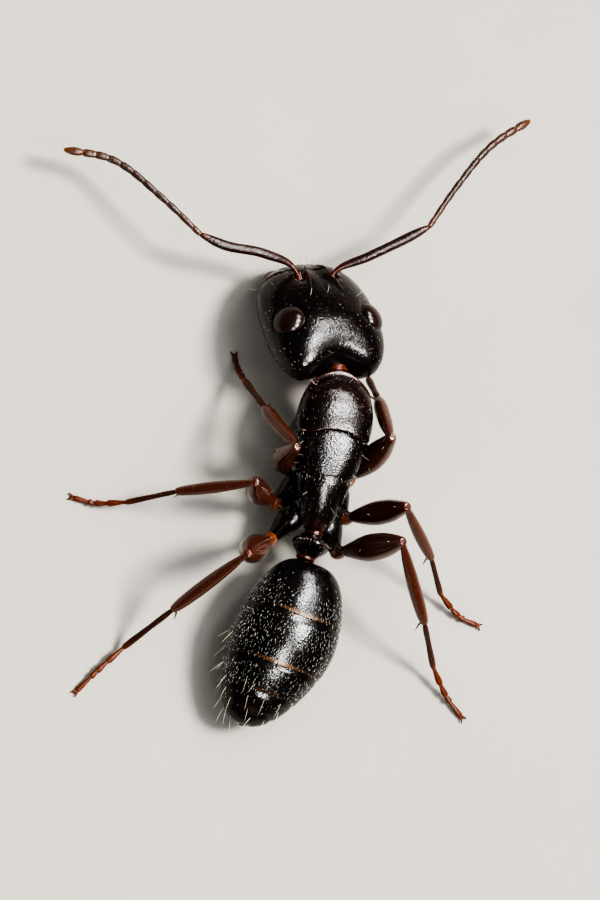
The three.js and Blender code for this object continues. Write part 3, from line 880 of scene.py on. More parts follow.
# How far back and how far inwards an edge turns over, in lip widths: round an arc, then under.
LIP_ARC = tuple((math.sin(angle), 1 - math.cos(angle)) for angle in (0.5, 1.0, 1.57))
ROLLED_LIP = (*LIP_ARC, (0.9, 1.8), (0.2, 2.6))


def banded(body, first, last, rows, columns, step_in=0.0, step_length=0.2, lip=0.02, relief=None):
    """One ring of a body between two edges, as a closed grid, with its edges rolled in.

    The first and last edge are shares that may change with the turn. The front edge lies
    step_in under the surface and rises to it over step_length, so that the ring before laps
    over it. The rear edge is rounded over by lip, and both ends close to a point inside."""
    turn = turns(columns)[None]
    low = first(turn) if first else np.full_like(turn, 0.0)
    high = last(turn) if last else np.full_like(turn, 1.0)
    v = np.linspace(0, 1, rows)[:, None]
    if not first:
        v = 1 - np.cos(v * math.pi / 2)
    if not last:
        v = np.sin(v * math.pi / 2)
    points = body(low + (high - low) * v, turn)
    if relief:
        points = raised(points, relief(points), points.mean(axis=1, keepdims=True))
    away = unit(points - points.mean(axis=1, keepdims=True))
    parts = []
    if first:
        gone = np.linalg.norm(points - points[:1], axis=-1)
        points = points - away * (step_in * (1 - ease(gone, 0, step_length)))[..., None]
        ring, middle = points[:1], points[:1].mean(axis=1, keepdims=True)
        parts = [middle + (ring - middle) * share for share in (0, 0.4, 0.8, 0.95)]
    parts.append(points)
    if last:
        ring, middle = points[-1:], points[-1:].mean(axis=1, keepdims=True)
        back = unit(points[-1:] - points[-2:-1])
        inward = unit(middle - ring)
        parts += [ring + lip * (back * far + inward * deep) for far, deep in ROLLED_LIP]
        parts += [middle + (parts[-1] - middle) * share for share in (0.7, 0.3, 0)]
    return np.concatenate(parts)


def side_line(points, start, end, width, depth):
    """A groove on both sides along the straight line from start to end, in y and z."""
    (y0, z0), (y1, z1) = start, end
    y, z = points[..., 1], points[..., 2]
    along = np.array([y1 - y0, z1 - z0])
    size = np.hypot(*along)
    share = ((y - y0) * along[0] + (z - z0) * along[1]) / size**2
    off = ((y - y0) * along[1] - (z - z0) * along[0]) / size
    return -depth * bell(off, width) * ease(share, -0.05, 0.05) * (1 - ease(share, 0.95, 1.05))


def spiracle(points, y, z, size):
    """A breathing hole on both sides: an oval pit in a raised rim."""
    away = np.hypot((points[..., 1] - y) / size, (points[..., 2] - z) / (size * 1.7))
    outer = ease(np.abs(points[..., 0]), 0.15, 0.25)
    return (0.018 * bell(away - 1.2, 0.4) - 0.05 * bell(away, 0.7)) * outer


def collar_rim(points, behind=0.0, width=0.03):
    """How close a point lies to the collar's rim, or to the line that far above and behind it.

    The rim runs level round the front and fades out over the back."""
    y, z = points[..., 1], points[..., 2]
    return bell(z - RIM_HEIGHT - behind, width) * (1 - ease(y, -1.4, -1.15))


def pronotum_relief(points):
    """The rim of the collar, and the shallow furrow behind it."""
    return 0.035 * collar_rim(points) - 0.01 * collar_rim(points, 0.08, 0.04)


def mesothorax_relief(points):
    """The plate seams on the side, and a breathing hole by the groove."""
    height = side_line(points, (-0.35, 2.25), (0.55, 1.9), 0.025, 0.03)
    height += side_line(points, (-0.3, 1.55), (0.5, 1.6), 0.025, 0.03)
    height += side_line(points, (0.25, 1.95), (0.3, 1.3), 0.02, 0.02)
    return height + spiracle(points, 0.5, 2.2, 0.035)


def propodeum_relief(points):
    """The breathing hole on the side, and the seam to the hip."""
    seam = side_line(points, (0.75, 1.62), (1.6, 1.42), 0.025, 0.025)
    return spiracle(points, 1.22, 1.75, 0.06) + seam


def build_trunk(colours):
    """The three plates of the trunk, each lapping over the next, and the neck."""
    shell = black_shell(colours)
    collar = shell_finish("collar shell", colours.shell, colours.rust)
    shapes = (
        # front edge, rear edge, step in, step length, lip, relief
        (None, trunk_share(collar_edge), 0.0, 0.2, 0.04, pronotum_relief),
        (trunk_share(collar_edge, -0.03), trunk_share(groove_edge), 0.085, 0.17, 0.035, mesothorax_relief),
        (trunk_share(groove_edge, 0.02), None, 0.075, 0.2, 0.02, propodeum_relief),
    )
    front, middle, rear = (
        banded(trunk_body, *shape[:2], rows, TRUNK_COLUMNS, *shape[2:])
        for rows, shape in zip(TRUNK_ROWS, shapes)
    )
    y, z = front[..., 1], front[..., 2]
    face = (1 - ease(z, RIM_HEIGHT - 0.04, RIM_HEIGHT)) * (1 - ease(y, -1.5, -1.0))
    to_edge = collar_edge(round_from_top(turns(TRUNK_COLUMNS))) - y
    tint = collar_rim(front) + 0.3 * face + 0.08 * (1 - ease(y, -1.2, -0.4))
    tint = np.clip(tint + 0.16 * (1 - ease(to_edge, 0.03, 0.1)), 0, 1)
    rear_tint = 0.35 * ease(rear[..., 1], 1.55, 1.85)
    plate("pronotum_plate", [placed(front, TRUNK_SET)], collar, ("pronotum",), [tint])
    plate("mesothorax_plate", [placed(middle, TRUNK_SET)], shell, ("mesothorax",))
    plate("propodeum_plate", [placed(rear, TRUNK_SET)], shell, ("propodeum",), [rear_tint])
    build_neck(colours)


def build_neck(colours):
    """The soft neck: a short tube with folds all round."""
    path = straight((0.12, -1.5, 1.72), (0.24, -2.25, 1.86))
    radius = smooth((0, 0.36), (0.4, 0.3), (0.7, 0.25), (1, 0.26))
    share = shares_of(NECK_GRID)
    folds = np.sin(share * 60) * ease(share, 0.05, 0.15) * (1 - ease(share, 0.85, 0.95))
    points = raised(grid_of(limb(path, radius, blunt=0.2), NECK_GRID), 0.012 * folds)
    material = shell_finish("neck skin", colours.rust, colours.trochanter, low=0.24, high=0.36)
    plate("neck_folds", [points], material, ("neck",), [0.12 * ease(share, 0.4, 0.8)])


# ---------------------------------------------------------------- waist and gaster

PETIOLE_LENGTH = 0.78


def petiole_body():
    """The waist: a short barrel that rises into an upright scale, wide and thin on top."""
    peak = lambda t: np.exp(-np.abs((t - 0.52) / 0.21) ** 2.6)
    return egg(
        PETIOLE_LENGTH,
        half=lambda t: 0.25 + 0.17 * peak(t),
        rise=lambda t: 0.21 + 0.53 * peak(t),
        fall=lambda t: 0.23 + 0.05 * np.cos((t - 0.5) * 4),
        blunt=(0.32, 0.32),
    )


def build_waist(colours):
    """The waist scale, with the reddish hinge rings before and behind it."""
    points = grid_of(petiole_body(), WAIST_GRID)
    y, z = points[..., 1], points[..., 2]
    rings = bell(y - 0.06, 0.025) + bell(y - 0.72, 0.025) - bell(y - 0.13, 0.025)
    tint = 0.65 * ((1 - ease(y, 0.04, 0.2)) + ease(y, 0.6, 0.72)) * (z < 0.35)
    grid = placed(raised(points, 0.02 * rings), PETIOLE_SET)
    plate("petiole_scale", [grid], black_shell(colours), ("petiole",), [tint])


RING_EDGES = (0.315, 0.62, 0.8, 0.92)  # the rear edges of the first four rings, as shares
EDGE_GLOW = (1.0, 0.9, 0.25, 0.15)  # how golden each of those edges is
EDGE_BOW = 0.022  # how far forward an edge runs on the back, and backward on the belly
LAP_DEPTH = 0.035  # how far the front of each ring lies under the edge of the one before
LAP_LENGTH = 0.22  # over which it rises again
EDGE_GAP = 0.025  # width left bare of hairs behind each edge
FRINGE = 26  # hairs in the ring round the tip


def gaster_body(sizes):
    """The gaster as one egg, bowed a little to the ant's right with its tip to the left."""
    length, half = sizes.gaster_length / MM, sizes.gaster_width / MM / 2
    return egg(
        length,
        half=smooth(
            (0, half - 0.11), (0.3, half - 0.01), (0.5, half), (0.75, half - 0.14), (1, half - 0.31),
        ),
        rise=smooth((0, 0.86), (0.4, 0.98), (0.7, 0.86), (1, 0.62)),
        fall=smooth((0, 0.78), (0.4, 0.95), (0.7, 0.9), (1, 0.6)),
        sway=lambda t: 0.23 * t - 0.09 * np.sin(math.pi * t),
        blunt=(0.6, 0.75),
    )


def ring_edge(share, shift=0.0):
    """The edge of a ring: a little further forward over the back, with a slight wave."""
    return lambda turn: share + shift - EDGE_BOW * np.sin(turn) + 0.004 * np.sin(5 * turn)


def belly_seam(points):
    """A step low on both sides, where each back plate laps over its belly plate.

    The step is taken between 22 and 26 degrees below the level of the middle."""
    across = points - points.mean(axis=1, keepdims=True)
    angle = np.degrees(np.arctan2(across[..., 2], np.abs(across[..., 0])))
    return -0.03 * ease(-angle, 22, 26) - 0.015 * bell(angle + 24, 3)


def build_gaster(sizes, colours):
    """The five rings of the gaster, each with a thin golden rear edge, and the tip. The edge's gold is
    painted strongest along the back, under the highlight, and faint on the sides: a painted highlight.
    """
    body = gaster_body(sizes)
    length = sizes.gaster_length / MM
    shell = shell_finish("gaster shell", colours.shell, colours.band, cell=0.045, mottle=0.02)
    edges = [None, *RING_EDGES, None]
    turn = turns(GASTER_COLUMNS)
    # Painted highlight: the golden edge is made strongest along the back, where the highlight falls, and
    # fades to faint on the sides.
    on_back = 0.06 + 0.94 * bell(round_from_top(turn), 24)
    for number, rows in enumerate(GASTER_ROWS):
        low, high = edges[number], edges[number + 1]
        first = ring_edge(low, -0.006) if low else None
        last = ring_edge(high) if high else None
        ring = banded(body, first, last, rows, GASTER_COLUMNS, LAP_DEPTH, LAP_LENGTH, 0.012, belly_seam)
        grids, tints = [placed(ring, GASTER_SET)], [np.zeros(ring.shape[:2])]
        if last:
            edge_y = (high - EDGE_BOW * np.sin(turn)) * length
            tints = [EDGE_GLOW[number] * on_back * ease(ring[..., 1], edge_y - 0.09, edge_y - 0.045)]
        else:
            path = straight((0.2, length - 0.2, 0.0), (0.23, length + 0.03, -0.02))
            nozzle = grid_of(limb(path, smooth((0, 0.16), (0.7, 0.1), (1, 0.07)), blunt=0.3), NOZZLE_GRID)
            grids.append(placed(nozzle, GASTER_SET))
            tints.append(np.full(NOZZLE_GRID, 0.45))
        plate(f"gaster_ring_{number + 1}", grids, shell, (f"gaster_{number + 1}",), tints)


# ---------------------------------------------------------------- legs

def leg_joints(name):
    """Hip, knee, ankle, end of the first foot joint, bend and claws, in ant coordinates."""
    pair, side_name = name.split("_")
    side = SIDES[side_name]
    points = [np.array(PAIRS[pair]["hip"]) * np.array([side, 1, 1])]
    for (heading, climb), length in zip(POSE[name], PAIRS[pair]["lengths"]):
        if climb is None:
            drop = max(-1.0, min(1.0, (CLAW_HEIGHT - points[-1][2]) / length))
            climb = math.asin(drop) / DEGREE
        points.append(points[-1] + length * step_towards(side, heading, climb))
    return side, points


def between(start, end, distance):
    """The point that lies distance along the way from start to end."""
    return start + unit(end - start) * distance


def leg_skins(name):
    """The skins of one leg, from the coxa to the last foot joint, in order down the leg.

    A thigh is widest two fifths of the way down and bows out of the plane of its own droop.
    A shin swells from a thin neck, and the joints of the foot share the bent path from the
    end of the first one to the claws."""
    shape = PAIRS[name.split("_")[0]]
    side, (hip, knee, ankle, bend, ball, claw) = leg_joints(name)
    root = np.array(shape["root"]) * np.array([side, 1, 1])
    big, shin, hip_bulge, setback = shape["thigh"], shape["shin"], shape["coxa"], shape["setback"]
    flat = unit(np.cross(knee - hip, UP))
    plane = unit(np.cross(flat, knee - hip))
    hip = hip + np.array([0, setback, 0])
    outwards = unit(np.array([0, setback * 6, 0]) - plane)
    past_knee = between(hip, knee, np.linalg.norm(knee - hip) + 0.05)
    skins = {}
    skins["coxa"] = limb(
        straight(root, hip), smooth((0, hip_bulge), (0.35, hip_bulge), (0.8, 0.21), (1, 0.17)),
    )
    skins["trochanter"] = limb(
        straight(between(hip, knee, -0.12), between(hip, knee, 0.36)),
        smooth((0, 0.12), (0.35, 0.17), (0.7, 0.16), (1, 0.12)), blunt=0.4,
    )
    skins["femur"] = limb(
        straight(between(hip, knee, 0.22), past_knee, shape["bow"], outwards),
        smooth((0, 0.12), (0.1, 0.18), (0.35, 0.26 * big), (0.6, 0.25 * big), (0.85, 0.18 * big), (1, 0.15)),
        smooth(
            (0, 0.12), (0.1, 0.17), (0.35, 0.24 * big), (0.6, 0.225 * big), (0.85, 0.165 * big),
            (1, 0.15),
        ),
        plane, blunt=0.3,
    )
    bow = -0.03 * unit(np.cross(np.cross(ankle - knee, UP), ankle - knee))
    skins["tibia"] = limb(
        straight(between(knee, ankle, -0.05), ankle, 1.0, bow),
        smooth(
            (0, 0.1), (0.04, 0.09), (0.08, 0.085), (0.2, 0.11 * shin), (0.6, 0.15 * shin),
            (0.92, 0.135 * shin), (1, 0.12),
        ),
        blunt=0.2,
    )
    skins["tarsus_1"] = limb(
        straight(between(ankle, bend, -0.05), bend),
        smooth(
            (0, 0.05), (0.08, 0.062 * shin), (0.5, 0.064 * shin), (0.92, 0.082 * shin),
            (1, 0.082 * shin),
        ),
        blunt=0.16,
    )
    path = smooth((0, bend), (0.55, ball), (1, claw + UP * 0.01))
    ends = np.cumsum([0, *TOE_JOINTS]) / sum(TOE_JOINTS)
    for number, (low, high) in enumerate(zip(ends[:-1], ends[1:]), start=2):
        end = 0.068 if number == 5 else 0.08
        radius = smooth((0, 0.044), (0.2, 0.048), (0.9, end), (1, end))
        skins[f"tarsus_{number}"] = limb(stretch_of(path, low, high, 0.03), radius, blunt=0.16)
    return skins


def claw_grids(name):
    """Two hooked claws and the small pad between them, at the end of a foot."""
    _, (*_, ball, claw) = leg_joints(name)
    ahead = unit((claw - ball) * np.array([1, 1, 0.25]))
    across = unit(np.cross(ahead, UP))
    start = claw + UP * 0.01
    grids = []
    for side in (-1, 1):
        out = unit(ahead + side * 0.62 * across)
        path = smooth(
            (0, start + side * 0.02 * across), (0.4, start + out * 0.08 + UP * 0.02),
            (0.75, start + out * 0.13 + ahead * 0.02), (1, start + out * 0.14 + ahead * 0.03 - UP * 0.045),
        )
        hook = limb(path, smooth((0, 0.03), (0.5, 0.02), (1, 0.006)), blunt=0.25)
        grids.append(grid_of(hook, CLAW_GRID))
    sole = straight(start, start + ahead * 0.09 - UP * 0.01)
    pad = limb(sole, smooth((0, 0.03), (0.6, 0.045), (1, 0.03)), level(0.025))
    return grids + [grid_of(pad, PAD_GRID)]


def spur_grid(name):
    """The spur at the lower end of a shin, a slim curved spine on the side towards the body."""
    side, (_, knee, ankle, bend, *_) = leg_joints(name)
    ahead = unit(bend - ankle)
    shin = unit(ankle - knee)
    inwards = np.array([-side, 0.0, 0.0])
    inner = unit(inwards - shin * np.dot(inwards, shin))
    way = unit(ahead * 0.85 + inner * 0.6)
    start = ankle - shin * 0.06 + inner * 0.07
    path = smooth((0, start), (0.5, start + way * 0.16), (1, start + way * 0.3 + ahead * 0.04))
    return grid_of(limb(path, smooth((0, 0.024), (0.4, 0.02), (1, 0.006)), blunt=0.25), SPUR_GRID)


def on_floor(points):
    """The points with every height below the floor moved up to it, which makes the sole flat."""
    return np.maximum(points, np.array([-np.inf, -np.inf, 0.0]))


def build_legs(colours):
    """All six legs: hip, orange ring, thigh, shin with its spur, and the jointed clawed foot."""
    leg = shell_finish("leg shell", colours.leg, colours.leg_end, cell=0.045, depth=0.001, shine=0.42)
    orange = shell_finish("orange ring", colours.trochanter, colours.leg, cell=0.045, depth=0.001, shine=0.8)
    foot = shell_finish("foot shell", colours.tarsus, colours.tarsus_end, 0.3, 0.42, depth=0.001, shine=0.14)
    black = black_shell(colours)
    share = shares_of(LIMB_GRID)
    hip_tint = 0.7 * ease(share, 0.86, 0.98)
    ring_tint = 0.8 * ease(np.abs(shares_of(RING_GRID) - 0.5), 0.12, 0.4)
    thigh_tint = 0.9 * (1 - ease(share, 0.03, 0.2)) + 0.8 * ease(share, 0.84, 0.98)
    shin_tint = (1 - ease(share, 0.02, 0.12)) + 0.7 * ease(share, 0.8, 0.98)
    foot_tint = 1 - ease(shares_of(FOOT_GRID), 0.72, 1)
    for name in POSE:
        skins = leg_skins(name)
        coxa, femur, tibia = (grid_of(skins[part], LIMB_GRID) for part in ("coxa", "femur", "tibia"))
        ring = grid_of(skins["trochanter"], RING_GRID)
        first = on_floor(grid_of(skins["tarsus_1"], FOOT_GRID))
        toes = [grid_of(skins[f"tarsus_{number}"], TOE_GRID) for number in (2, 3, 4, 5)]
        toes = [on_floor(grid) for grid in toes + claw_grids(name)]
        shin, shin_tints = [tibia, spur_grid(name)], [shin_tint, np.ones(SPUR_GRID)]
        plate(f"hip_{name}", [coxa], black, (f"coxa_{name}",), [hip_tint])
        plate(f"ring_{name}", [ring], orange, (f"trochanter_{name}",), [ring_tint])
        plate(f"thigh_{name}", [femur], leg, (f"femur_{name}",), [thigh_tint])
        plate(f"shin_{name}", shin, leg, (f"tibia_{name}",), shin_tints)
        plate(f"foot_joint_{name}", [first], foot, (f"metatarsus_{name}",), [foot_tint])
        plate(f"foot_end_{name}", toes, foot, (f"foot_{name}",))


# ---------------------------------------------------------------- coat

def on_part(body, setting):
    """A part's body as a skin in ant coordinates."""
    return lambda t, turn: placed(body(t, turn), setting)


def kept(roots, keep):
    """Only the roots for which keep is true."""
    return roots[0][keep], roots[1][keep]


def round_of(radius, power):
    """The girth of an egg-shaped body at a share, for its widest radius and blunt power."""
    return lambda t: FULL_TURN * radius * closing(t, power)


def behind_edge(t, turn, length):
    """How far each root lies behind the nearest ring edge in front of it, in millimetres."""
    gaps = [(t - ring_edge(share)(turn)) * length for share in RING_EDGES]
    return np.min([np.where(gap < 0, length, gap) for gap in gaps], axis=0)


def gaster_coat(sizes, hair, bristle):
    """Short white hairs lying back in even rows, and long bristles towards the tip."""
    body = gaster_body(sizes)
    length = sizes.gaster_length / MM
    thick = sizes.hair_thickness / MM / 2

    def stepped(t, turn):
        points = body(t, turn)
        across = unit((points - body(t, turn + math.pi)) * np.array([1, 0, 1]))
        drop = LAP_DEPTH * (1 - ease(behind_edge(t, turn, length), 0, LAP_LENGTH))
        return placed(points - across * drop[..., None], GASTER_SET)

    skin = on_part(body, GASTER_SET)
    girth = round_of(1.02, 0.7)
    random = np.random.default_rng(12)
    roots = t, turn = lattice((0.08, 0.985), length, girth, 0.068, 11, jitter=1.1)
    thin_out = (1 - 0.92 * ease(t, 0.76, 0.87)) * (1 - 0.5 * ease(-np.sin(turn), -0.5, 0.3))
    keep = random.random(len(t)) < (0.1 + 0.85 * ease(t, 0.1, 0.2)) * thin_out
    keep &= behind_edge(t, turn, length) > EDGE_GAP
    short = hairs(stepped, kept(roots, keep), sizes.coat_length / MM, thick, 24, 13)
    hair_piece("coat_gaster", [short], hair)
    roots = t, turn = lattice((0.3, 0.99), length, girth, 0.36, 14, jitter=1.0)
    on_back = np.sin(turn) > 0.25
    keep = random.random(len(t)) < np.where(on_back, ease(t, 0.6, 0.9), ease(t, 0.3, 0.6))
    bristle_length = sizes.bristle_length / MM
    long = hairs(skin, kept(roots, keep), bristle_length, thick * 1.15, 46, 15, droop=0.12, spread=0.3)
    ring = np.full(FRINGE, 0.9985), turns(FRINGE)
    fringe = hairs(skin, ring, 0.2, thick, 12, 16, droop=-0.1)
    hair_piece("bristles_gaster", [long, fringe], bristle)


def head_coat(sizes, hair, bristle):
    """Sparse tiny hairs over the head, and a few upright ones on brow, crown and shield."""
    body = head_body(sizes)
    skin = on_part(body, HEAD_SET)
    thick = sizes.hair_thickness / MM / 2
    length, girth = 2.9, round_of(1.15, 0.4)
    roots = lattice((0.05, 0.97), length, girth, 0.15, 21, jitter=1.0)
    local = body(*roots)
    off_eye = np.hypot(np.abs(local[:, 0]) - EYE_AT[0], local[:, 1] - EYE_AT[1]) > 0.36
    tiny = hairs(skin, kept(roots, off_eye | (local[:, 2] < 0)), 0.05, thick * 0.9, 26, 22, spread=0.5)
    roots = lattice((0.06, 0.95), length, girth, 0.55, 23, jitter=1.0)
    local = body(*roots)
    middle = (np.abs(local[:, 0]) < 0.75) & (local[:, 2] > 0) | (local[:, 1] < -1.1)
    upright = hairs(skin, kept(roots, middle), 0.26, thick * 1.2, 72, 24, droop=-0.25)
    brim = np.full(13, 0.012), np.linspace(0.35, 2.8, 13)
    front = hairs(skin, brim, 0.24, thick * 1.2, 60, 25, droop=-0.3)
    hair_piece("coat_head", [tiny], hair)
    hair_piece("bristles_head", [upright, front], bristle)


def trunk_coat(sizes, hair, bristle):
    """Sparse tiny hairs over the trunk and waist, and short bristles along the waist scale."""
    skin = on_part(trunk_body, TRUNK_SET)
    waist = on_part(petiole_body(), PETIOLE_SET)
    on_trunk, on_waist = (0, 2), (1, 2)
    thick = sizes.hair_thickness / MM / 2
    girth = round_of(0.72, 0.45)
    roots = lattice((0.05, 0.97), TRUNK_LENGTH, girth, 0.115, 31, jitter=1.0)
    tiny = hairs(skin, roots, 0.05, thick * 0.75, 26, 32, on_trunk, spread=0.5)
    roots = lattice((0.2, 0.85), 1.0, level(2.4), 0.11, 33, jitter=1.0)
    scale = hairs(waist, roots, 0.05, thick * 0.75, 30, 34, on_waist, spread=0.5)
    hair_piece("coat_trunk", [tiny, scale], hair)
    crown = np.full(11, 0.5), np.linspace(0.7, 2.4, 11)
    top = hairs(waist, crown, 0.11, thick, 84, 35, on_waist, droop=0, spread=0.1)
    roots = lattice((0.05, 0.9), TRUNK_LENGTH, girth, 0.5, 36, jitter=1.0)
    roots = kept(roots, np.sin(roots[1]) > 0.3)
    upright = hairs(skin, roots, 0.2, thick * 1.1, 70, 37, on_trunk, droop=-0.2)
    hair_piece("bristles_trunk", [top, upright], bristle)


# The down of each part of a leg: the part's length and girth, and the spacing, length and
# tilt of its hairs.
LEG_DOWN = {
    "coxa": (1.2, 1.7, 0.17, 0.06, 30),
    "trochanter": (0.45, 0.95, 0.15, 0.07, 45),
    "femur": (2.2, 1.35, 0.15, 0.06, 18),
    "tibia": (2.0, 0.78, 0.12, 0.07, 22),
    "tarsus_1": (1.3, 0.38, 0.085, 0.07, 26),
    "tarsus_2": (0.36, 0.36, 0.07, 0.065, 35),
    "tarsus_3": (0.27, 0.36, 0.07, 0.065, 35),
    "tarsus_4": (0.17, 0.36, 0.07, 0.065, 35),
    "tarsus_5": (0.4, 0.36, 0.08, 0.065, 32),
}
# Single hairs of a leg, as shares down a part and turns round it.
SHIN_SPINES = np.linspace(0.35, 0.93, 8), np.tile([5.05, 4.35], 4)
TOE_SPINES = np.full(4, 0.9), np.array([3.9, 4.5, 5.0, 5.6])
THIGH_BRISTLES = np.array([0.25, 0.5, 0.72, 0.4, 0.85]), np.array([4.6, 4.9, 4.5, 1.4, 1.7])
HIP_BRISTLES = np.array([0.4, 0.7]), np.array([1.2, 2.0])


def leg_coat(sizes, hair, bristle):
    """Fine hairs lying down every leg, spines under shin and foot, and a few on the hips."""
    thick = sizes.hair_thickness / MM / 2
    tiles = {part: (place, len(LEG_DOWN)) for place, part in enumerate(LEG_DOWN)}
    for number, name in enumerate(POSE):
        skins = leg_skins(name)
        batches = []
        for part, (length, girth, spacing, hair_length, tilt) in LEG_DOWN.items():
            seed = 100 * (number + 1) + tiles[part][0]
            roots = lattice((0.04, 0.97), length, level(girth), spacing, seed, jitter=1.0)
            down = hairs(skins[part], roots, hair_length, thick * 0.62, tilt, seed, tiles[part], spread=0.4)
            batches.append(down)

        def single(part, roots, length, girth, tilt, seed, droop=0.35, spread=0.25):
            return hairs(skins[part], roots, length, thick * girth, tilt, seed, tiles[part], droop, spread)

        batches.append(single("tibia", SHIN_SPINES, 0.15, 1.5, 38, number, spread=0.1))
        for toe in range(2, 6):
            batches.append(single(f"tarsus_{toe}", TOE_SPINES, 0.1, 1.4, 30, toe, spread=0.3))
        hair_piece(f"coat_leg_{name}", batches, hair)
        few = single("femur", THIGH_BRISTLES, 0.2, 1.2, 65, number + 50, droop=0.1)
        hip = single("trochanter", HIP_BRISTLES, 0.18, 1.2, 65, 7)
        hair_piece(f"bristles_leg_{name}", [few, hip], bristle)


def feeler_coat(sizes, hair):
    """A fine down on the scapes and a dense one on the whips."""
    thick = sizes.hair_thickness / MM / 2 * 0.6
    tiles = len(WHIP_JOINTS) + 1
    lengths = [WHIP_REACH * part / sum(WHIP_JOINTS) for part in WHIP_JOINTS]
    for number, name in enumerate(SIDES):
        roots = lattice((0.1, 0.98), FEELER_LENGTHS[0], level(0.62), 0.1, 40 + number, jitter=1.0)
        scape = scape_skin(name, sizes)
        batches = [hairs(scape, roots, 0.05, thick, 24, 42 + number, (0, tiles), spread=0.4)]
        for joint, (skin, length) in enumerate(zip(whip_skins(name, sizes), lengths), start=1):
            seed = 49 + 20 * number + joint
            roots = lattice((0.06, 0.98), length, level(0.55), 0.06, seed, jitter=1.0)
            batches.append(hairs(skin, roots, 0.04, thick, 28, seed, (joint, tiles), spread=0.4))
        hair_piece(f"coat_feeler_{name}", batches, hair)


# ---------------------------------------------------------------- stage

VIEW_LEAN = (13, 9)  # how far the view leans to the ant's left and towards its tail, in degrees
VIEW_ROLL = 10.5  # how far the picture is turned, in degrees
VIEW_TARGET = np.array([0.62, -0.01, 1.5])  # the middle of the picture, in ant coordinates
VIEW_DISTANCE = 160.0
PICTURE = (600, 900)  # pixels across and up
PIXELS_PER_MM = 44.0  # at the target
SENSOR = 36.0  # height of the camera's sensor

FLOOR_HALF = 1500.0  # how far from the middle the backdrop ends
FLOOR_LEVEL = 500.0  # how far from the middle the floor is level, before it sweeps up
FLOOR_RIM = 600.0  # height of the backdrop's rim
FLOOR_LINES = 81  # grid lines outwards, and round
LIGHT_DISTANCE = 46.0  # of the strip of bright lights from the ant
LIGHT_TARGET = (0.1, 0.2, 1.5)  # what the soft lights point at, in ant coordinates
WARM = (1.0, 0.98, 0.95)
NEUTRAL = (1.0, 0.99, 0.97)
SUN = (1.0, 0.97, 0.92)
SKY = (0.97, 0.98, 1.0)
ROOM = (0.86, 0.9, 1.0)
# Each light of the strip: degrees to the ant's right, degrees towards the tail, size across
# and along, and brightness.
STRIP_LIGHTS = (
    (16, -46, (16, 7), 30.0),
    (12, -22, (7, 17), 60.0),
    (26, -20, (5, 15), 22.0),
    (20, 8, (12, 16), 50.0),
    (6, 34, (6, 13), 56.0),
)


def view_axes():
    """Right, up and backward of the view, as unit vectors."""
    left, tail = VIEW_LEAN
    back = unit(np.array([math.tan(left * DEGREE), math.tan(tail * DEGREE), 1.0]))
    right = unit(np.cross(-back, np.array([0.0, -1.0, 0.0])))
    up = np.cross(right, -back)
    cosine, sine = math.cos(VIEW_ROLL * DEGREE), math.sin(VIEW_ROLL * DEGREE)
    return right * cosine + up * sine, up * cosine - right * sine, back


def set_in_scene(name, data, place, right, up, back):
    """A light or camera in the scene at a place in ant millimetres, looking away from back."""
    thing = bpy.data.objects.new(name, data)
    bpy.context.scene.collection.objects.link(thing)
    axes = np.stack([right, up, back, (np.array(place, dtype=float) - MIDDLE) * MM], axis=-1)
    thing.matrix_world = Matrix([*axes.tolist(), [0, 0, 0, 1]])
    return thing


def aimed(name, light, place, target, colour):
    """A light in the scene at a place, pointing at a target, both in ant millimetres."""
    light.color = colour
    back = unit(np.array(place, dtype=float) - np.array(target, dtype=float))
    right = unit(np.cross(UP + np.array([0, -0.01, 0]), back))
    return set_in_scene(name, light, place, right, np.cross(back, right), back)


def soft_light(name, place, size, brightness, colour):
    """A rectangular soft light, in ant millimetres, which itself isn't seen.

    Its power is its brightness times its area times pi."""
    light = bpy.data.lights.new(name, "AREA")
    light.shape = "RECTANGLE"
    light.size, light.size_y = size[0] * MM, size[1] * MM
    light.energy = brightness * math.pi * light.size * light.size_y
    lamp = aimed(name, light, place, LIGHT_TARGET, colour)
    lamp.visible_camera = False
    return lamp


def floor_sheet(name, near, far, material):
    """A ring of floor between two distances from the middle: level, then swept up to a rim.

    Beyond FLOOR_LEVEL its height is the rim's times the square of the share of the way out."""
    distance = np.linspace(near, far, FLOOR_LINES)[:, None]
    turn = turns(FLOOR_LINES)[None]
    sweep = np.maximum(distance - FLOOR_LEVEL, 0) / (FLOOR_HALF - FLOOR_LEVEL)
    height = FLOOR_RIM * sweep**2 + 0 * turn
    corners = np.stack([distance * np.cos(turn), distance * np.sin(turn), height], axis=-1).reshape(-1, 3)
    here = np.arange(FLOOR_LINES - 1)[:, None] * FLOOR_LINES
    beyond = here + FLOOR_LINES
    column = np.arange(FLOOR_LINES)[None]
    after = (column + 1) % FLOOR_LINES
    loops = np.stack([here + column, beyond + column, beyond + after, here + after], axis=-1).ravel()
    flat = corners[loops, :2] / (2 * FLOOR_HALF) + 0.5
    sheet = new_mesh(name, corners + MIDDLE, loops, np.full(len(loops) // 4, 4), flat, "UVMap")
    sheet.data.materials.append(material)
    return sheet


def wide_sun(name, place, angle, brightness, colour):
    """Even light on everything from the direction of place, spread over an angle in degrees.

    It isn't seen in reflections."""
    light = bpy.data.lights.new(name, "SUN")
    light.energy = brightness
    light.angle = angle * DEGREE
    aimed(name, light, place, (0, 0, 0), colour).visible_glossy = False


def build_floor(colours):
    """The level floor, and the backdrop that sweeps up round it."""
    card = floor_finish(colours)
    floor = floor_sheet("floor", 0, FLOOR_LEVEL, card)
    backdrop = floor_sheet("backdrop", FLOOR_LEVEL, FLOOR_HALF, card)
    backdrop.visible_glossy = False


